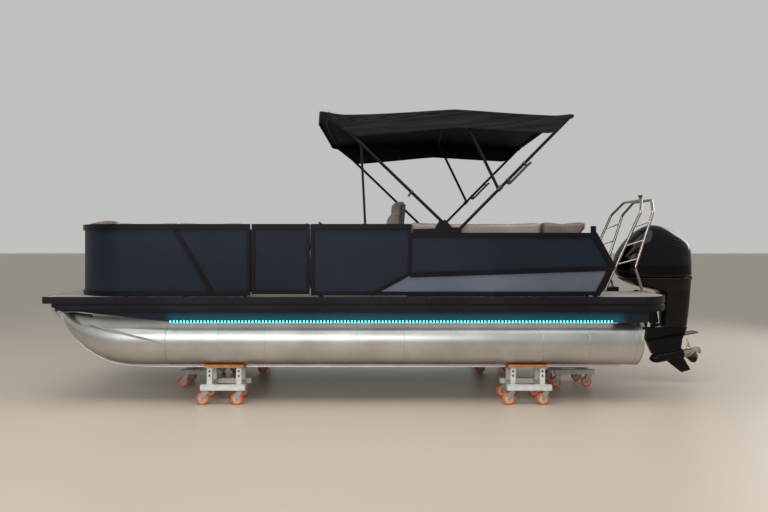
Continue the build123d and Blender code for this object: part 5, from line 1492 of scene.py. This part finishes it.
def dashBlock(shape, u, v, size, edge, out=0.0):
    stamp(shape, blockPattern(size, edge, middle=size[2] / 2), [dashPlace(u, v, out)])


def makeHelm():
    shape = bmesh.new()
    dashBlock(shape, *helm["dash"], edge=0.003, out=-0.001)
    dashBlock(shape, *helm["screen"], edge=0.008)
    first, v, size = helm["switch"]
    for index in range(helm["switches"]):
        dashBlock(shape, first + helm["switchStep"] * index, v, size, edge=0.003, out=helm["dialOut"])
    for u, v, radius in helm["gauges"]:
        ring = [(radius + wider, height) for wider, height in helm["ring"]]
        addTurned(shape, ring, dashPlace(u, v, helm["dialOut"]), steps=32)
    # throttle box and its lever, to the helmsman's right
    addBlock(shape, *helm["throttle"], edge=0.010, segments=3)
    addTube(shape, helm["lever"], helm["leverRadius"], sides=12, roll=(0, 1, 0))
    knobFoot = Vector(helm["lever"][-1]) - Vector((0, 0, 0.005))
    addTurned(shape, helm["knob"], facing(knobFoot, (helm["knobLean"], 0, 1)), steps=20)
    finishPiece("dash_panel", shape, "mouldedAbs", "boat")

    shape = bmesh.new()
    dashBlock(shape, *helm["glass"], edge=0.001, out=helm["glassOut"])
    for u, v, radius in helm["gauges"]:
        dial = [(pole, 0.0095), (radius * 0.6, 0.009), (radius - 0.005, 0.0065), (radius - 0.005, 0.003)]
        addTurned(shape, dial, dashPlace(u, v, helm["dialOut"]), steps=28)
    finishPiece("dash_glass", shape, "instrumentGlass", "boat")

    # cup holders and a stainless grab rail on the console's top
    shape = bmesh.new()
    top = helm["top"][1]
    x, holders = helm["cupHolders"]
    for y in holders:
        addTurned(shape, helm["cup"], Matrix.Translation((x, y, top)), steps=32)
    x, (first, last), tall, radius = helm["grabRail"]
    line = [(x, first, top - 0.004), (x, first, top + tall), (x, last, top + tall), (x, last, top - 0.004)]
    addTube(shape, roundedPath(line, 0.035), radius, sides=14, roll=(1, 0, 0))
    flange = [(radius, 0.006), (0.024, 0.005), (0.026, 0.0)]
    for y in (first, last):
        addTurned(shape, flange, Matrix.Translation((x, y, top)), steps=28)
    finishPiece("console_brightwork", shape, "polishedStainless", "boat")

    # door in the console's port side, on a continuous hinge, and its finger pull
    shape = bmesh.new()
    addBlock(shape, *helm["door"], edge=0.002)
    addTurned(shape, helm["pull"], facing(helm["doorPull"], (0, 1, 0)), steps=28)
    addTube(shape, helm["doorHinge"], helm["hingeRadius"], sides=10, roll=(0, 1, 0))
    finishPiece("console_door", shape, "sprayedGelcoat", "boat")

    # centre cap of the wheel and the stitches round its grip
    shape = bmesh.new()
    rake = math.radians(helm["wheelRake"])
    wheel = facing(helm["wheel"], (-math.cos(rake), 0, math.sin(rake)))
    addTurned(shape, helm["cap"], wheel, steps=36)
    finishPiece("wheel_cap", shape, "mouldedAbs", "steering_wheel")
    shape = bmesh.new()
    stitch = blockPattern(helm["stitch"], 0)
    for a, b in roundOutline(helm["grip"], helm["stitches"]):
        ahead = wheel.to_3x3() @ Vector((-b, a, 0.35 * helm["grip"]))
        turn = ahead.to_track_quat("X", "Z").to_matrix().to_4x4()
        stamp(shape, stitch, [Matrix.Translation(wheel @ Vector((a, b, 0.0))) @ turn])
    finishPiece("wheel_stitches", shape, "weltVinyl", "steering_wheel", recalc=False)


lockers = {
    "proud": 0.006,
    "z": (deck + 0.055, deck + 0.315),
    # axis that the face looks along, its place, each door's ends, half length of its slots
    "rows": [
        dict(axis="y", at=0.5, spans=[(1.90, 2.50), (2.54, 3.14), (3.18, 3.66)], turn=-1, slot=0.11,
             both=True),
        dict(axis="y", at=0.58, spans=[(-1.50, -0.86), (-0.82, -0.18)], turn=-1, slot=0.11, both=False),
        dict(axis="x", at=-1.570, spans=[(-0.28, 0.12), (0.16, 0.55)], turn=1, slot=0.08, both=False),
    ],
    "slots": 4,
    "slotFoot": -0.05,       # from the door's middle
    "slotRise": 0.022,
    "slotRadius": 0.0032,
    "latchIn": 0.05,
    "latch": [(pole, 0.002), (0.012, 0.002), (0.0135, 0.0045), (0.020, 0.004), (0.022, 0.0)],
}


# a point from its distances out of the face, along the row and up
def rowPoint(row, out, along, z):
    return Vector((along, out, z) if row["axis"] == "y" else (out, along, z))


# raised door panels in the moulded bases, each with vent slots and a round latch
def makeLockerDoors():
    doors, latches = bmesh.new(), bmesh.new()
    foot, head = lockers["z"]
    for row in lockers["rows"]:
        for side in (bothSides if row["both"] else (1,)):
            face, turn = row["at"] * side, row["turn"] * side
            outer = face + turn * lockers["proud"]
            low, high = sorted((face - turn * 0.001, outer))
            way = rowPoint(row, turn, 0, 0)
            for start, end in row["spans"]:
                addBlock(doors, rowPoint(row, low, start, foot), rowPoint(row, high, end, head), edge=0.0028,
                         segments=3)
                middle = (start + end) / 2
                for index in range(lockers["slots"]):
                    z = (foot + head) / 2 + lockers["slotFoot"] + lockers["slotRise"] * index
                    ends = [rowPoint(row, outer, middle + reach, z) for reach in (-row["slot"], row["slot"])]
                    addTube(doors, ends, lockers["slotRadius"], sides=8, roll=way)
                spot = rowPoint(row, outer, end - lockers["latchIn"], head - lockers["latchIn"])
                addTurned(latches, lockers["latch"], facing(spot, way), steps=24)
    finishPiece("locker_doors", doors, "mouldedPolyethylene", "boat")
    finishPiece("locker_latches", latches, "mouldedAbs", "boat")


gates = {
    "latches": [
        # on the tube at the gate's free edge, looking into the boat
        dict(body="port_gate", place=(1.706, 1.2315, 1.98), way=(0, -1, 0)),
        dict(body="bow_gate", place=(3.8805, -0.297, 1.98), way=(-1, 0, 0)),
        dict(body="stern_gate", place=(-2.1905, -0.469, 1.90), way=(1, 0, 0)),
    ],
    "knob": [(pole, 0.010), (0.014, 0.010), (0.017, 0.006), (0.019, 0.0), (0.019, -0.004)],
    "plate": [(-0.017, -0.040, -0.0035), (0.017, 0.040, 0.002)],
    "slide": [(-0.007, -0.052, 0.006), (0.007, -0.004, 0.014)],
    # each stop's foot on the post and its lip behind the gate: low and high X and Y, then the height of both
    "stops": [
        ((1.742, 1.764), (1.2215, 1.2312), 2.075),
        ((1.721, 1.744), (1.2215, 1.2285), 2.075),
        ((3.8715, 3.8812), (-0.354, -0.334), 2.075),
        ((3.8715, 3.8785), (-0.336, -0.312), 2.075),
        ((-2.1912, -2.1815), (-0.432, -0.412), 1.985),
        ((-2.1885, -2.1815), (-0.454, -0.430), 1.985),
    ],
    "stopFoot": 1.345,
}


def makeGateLatches():
    for latch in gates["latches"]:
        shape = bmesh.new()
        place = facing(latch["place"], latch["way"])
        addTurned(shape, gates["knob"], place, steps=28)
        plate = bmesh.new()
        addBlock(plate, *gates["plate"], edge=0.0018)
        addBlock(plate, *gates["slide"], edge=0.003)
        stamp(shape, patternMesh(plate), [place])
        finishPiece(latch["body"] + "_latch", shape, "castStainless", latch["body"])
    # rubber stops that the free edges close against
    shape = bmesh.new()
    for (x0, x1), (y0, y1), top in gates["stops"]:
        addBlock(shape, (x0, y0, gates["stopFoot"]), (x1, y1, top), edge=0.0015)
    finishPiece("gate_stops", shape, "mouldedRubber", "boat")


towBar = {
    # place of each foot, and how far ahead of its middle the tube stands
    "feet": [(-2.690, 0.485, 0.0025), (-3.180, 0.485, 0.0)],
    "screwCircle": 0.027,
    "screwLift": 0.0082,
    "weld": [(0.018, 0.0), (0.0245, 0.0), (0.0235, 0.0035), (0.0205, 0.0055), (0.018, 0.0065)],
    "weldLift": 0.008,
}


# screws in the bar's feet and weld beads where the rails leave them
def makeTowBarTrim():
    shape = bmesh.new()
    screw = screwPattern(0.0055)
    for x, y, ahead in towBar["feet"]:
        for side in bothSides:
            for turn in range(4):
                angle = math.pi / 4 + turn * math.pi / 2
                out = Vector((math.cos(angle), math.sin(angle), 0)) * towBar["screwCircle"]
                spot = Vector((x, side * y, deck + towBar["screwLift"])) + out
                stamp(shape, screw, [Matrix.Translation(spot)])
            addTurned(shape, towBar["weld"],
                      Matrix.Translation((x + ahead, side * y, deck + towBar["weldLift"])), steps=28)
    finishPiece("tow_bar_screws", shape, "castStainless", "boat", recalc=False)


makeBiminiFittings()
makeHelm()
makeLockerDoors()
makeGateLatches()
makeTowBarTrim()
print("fittings made")


canopy = {
    "rows": 128,             # from the rear edge to the front edge
    "columns": 96,           # from hem to hem
    "half": 1.275,
    "hang": 0.245,           # run of the cloth from there to its hem
    "bend": 0.055,           # how softly the roof turns down into the sides
    "bendDrop": 0.012,
    "thick": 0.0016,
    "split": 0.43,           # share of the length where the middle bow stands
    "sag": [{"depth": 0.026, "at": 0.16}, {"depth": 0.046, "at": 0.80}],
    "fold": 0.0045,
    "crease": 0.019,
    "roofShare": 0.773,      # run of the cloth that the inner part of the columns covers
    "roofColumns": 0.55,     # how much of the columns that is
    "curl": 0.020,           # the front and rear edges roll round their hem tubes
    "curlShare": 0.036,
}


# the cloth's place over a bow
def crownPoint(crown, y):
    angle = math.radians(crown["angle"])
    reach = crown["peak"] - crown["slope"] * abs(y)
    x, z = crown["pivot"]
    return Vector((x + math.cos(angle) * reach + crown["lip"], y, z + math.sin(angle) * reach))


# the cloth's place for u from rear to front and v from the starboard hem to the port one
def clothPoint(u, v):
    share = canopy["curlShare"]
    curl, edgeSide = 0.0, 0
    if u < share:
        curl, edgeSide, u = 1 - u / share, -1, 0.0
    elif u > 1 - share:
        curl, edgeSide, u = 1 - (1 - u) / share, 1, 1.0
    else:
        u = (u - share) / (1 - 2 * share)
    split, half, bend = canopy["split"], canopy["half"], canopy["bend"]
    if u < split:
        first, second, sag, t = bows["rear"], bows["middle"], canopy["sag"][0], u / split
    else:
        first, second, sag, t = bows["middle"], bows["front"], canopy["sag"][1], (u - split) / (1 - split)
    run = abs(v) * (half + canopy["hang"])
    side = 1 if v >= 0 else -1
    y = min(run, half)
    if half - bend < run < half:
        y = half - bend + bend * math.sin((run - half + bend) / bend * math.pi / 2)
    spot = crownPoint(first, y).lerp(crownPoint(second, y), t)
    # the cloth hangs between the crowns, lowest near the ends
    if t <= sag["at"]:
        dip = math.sin(math.pi / 2 * t / sag["at"])
    else:
        dip = math.cos(math.pi / 2 * (t - sag["at"]) / (1 - sag["at"]))
    spot.z -= sag["depth"] * max(dip, 0.0) ** 1.3 * (0.55 + 0.45 * y / half)
    spot.z -= canopy["bendDrop"] * max(0.0, 1 - abs(run - half) / bend)
    down = max(0.0, run - half) / canopy["hang"]
    if down > 0:
        drop = first["drop"] + t * (second["drop"] - first["drop"])
        foot = []
        for crown in (first, second):
            angle = math.radians(crown["angle"])
            foot.append(-math.cos(angle) / math.sin(angle) * crown["drop"] - crown["lip"])
        pull = foot[0] * (1 - t) + foot[1] * t
        ends = abs(2 * u - 1) ** 3
        spot.z -= down * drop
        spot.x += down * pull * ends
    spot.y = side * y
    # shallow folds, deeper in the hanging sides
    wave = noise.noise(Vector((spot.x * 2.1 + spot.z * 3.5, side * 7.3, spot.z * 9.0 - spot.x * 1.4)))
    crease = noise.noise(Vector((spot.x * 0.9, spot.y * 0.9, spot.z * 24.0 + spot.x * 2.6 + 4.0)))
    crease = 1 - 2 * min(1.0, abs(crease) * 3.2)
    depth = canopy["fold"] * (0.3 + 1.4 * min(1.0, down * 3))
    if down > 0:
        near = min(1.0, down * 5) * (1 - 0.6 * down)
        inward = canopy["crease"] * near * (0.5 + 0.5 * crease) + 0.004 * down * (1 - down)
        spot.y += side * (min(0.0, depth * wave * 1.6) - inward)
    else:
        spot.z += depth * (wave + 0.2 * crease) - canopy["fold"] * 0.7
    if edgeSide:
        # rolled hem: out past the edge, round, and back underneath
        hang = min(1.0, down * 3)
        under = Vector((0, -side * hang, hang - 1)).normalized()
        angle = curl * math.pi
        spot += Vector((edgeSide * math.sin(angle), 0, 0)) * canopy["curl"]
        spot += under * canopy["curl"] * (1 - math.cos(angle))
    return spot


def makeCanopy():
    shape = bmesh.new()
    bmesh.ops.create_grid(shape, x_segments=canopy["rows"], y_segments=canopy["columns"], size=1)
    roof, dense = canopy["roofShare"], canopy["roofColumns"]
    for vert in shape.verts:
        # the columns stand closer in the hanging sides, where the creases are
        out = abs(vert.co.y)
        out = roof * out / dense if out < dense else roof + (out - dense) / (1 - dense) * (1 - roof)
        vert.co = clothPoint((vert.co.x + 1) / 2, math.copysign(out, vert.co.y))
    bmesh.ops.recalc_face_normals(shape, faces=shape.faces)
    top = max(shape.faces, key=lambda face: face.calc_center_median().z)
    if top.normal.z < 0:
        bmesh.ops.reverse_faces(shape, faces=shape.faces)
    area = sum(face.calc_area() for face in shape.faces)
    cover = finishPiece("canopy_cover", shape, ["wovenAcrylic", "coatedCanvas"], None,
                        sharp=60, recalc=False)
    wall = cover.modifiers.new("thickness", "SOLIDIFY")
    wall.thickness = canopy["thick"]
    wall.offset = -1
    wall.material_offset = 1
    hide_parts("canopy")
    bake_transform(cover)
    return cover, area


cover, clothArea = makeCanopy()
print("canopy made, cloth area", round(clothArea, 3))
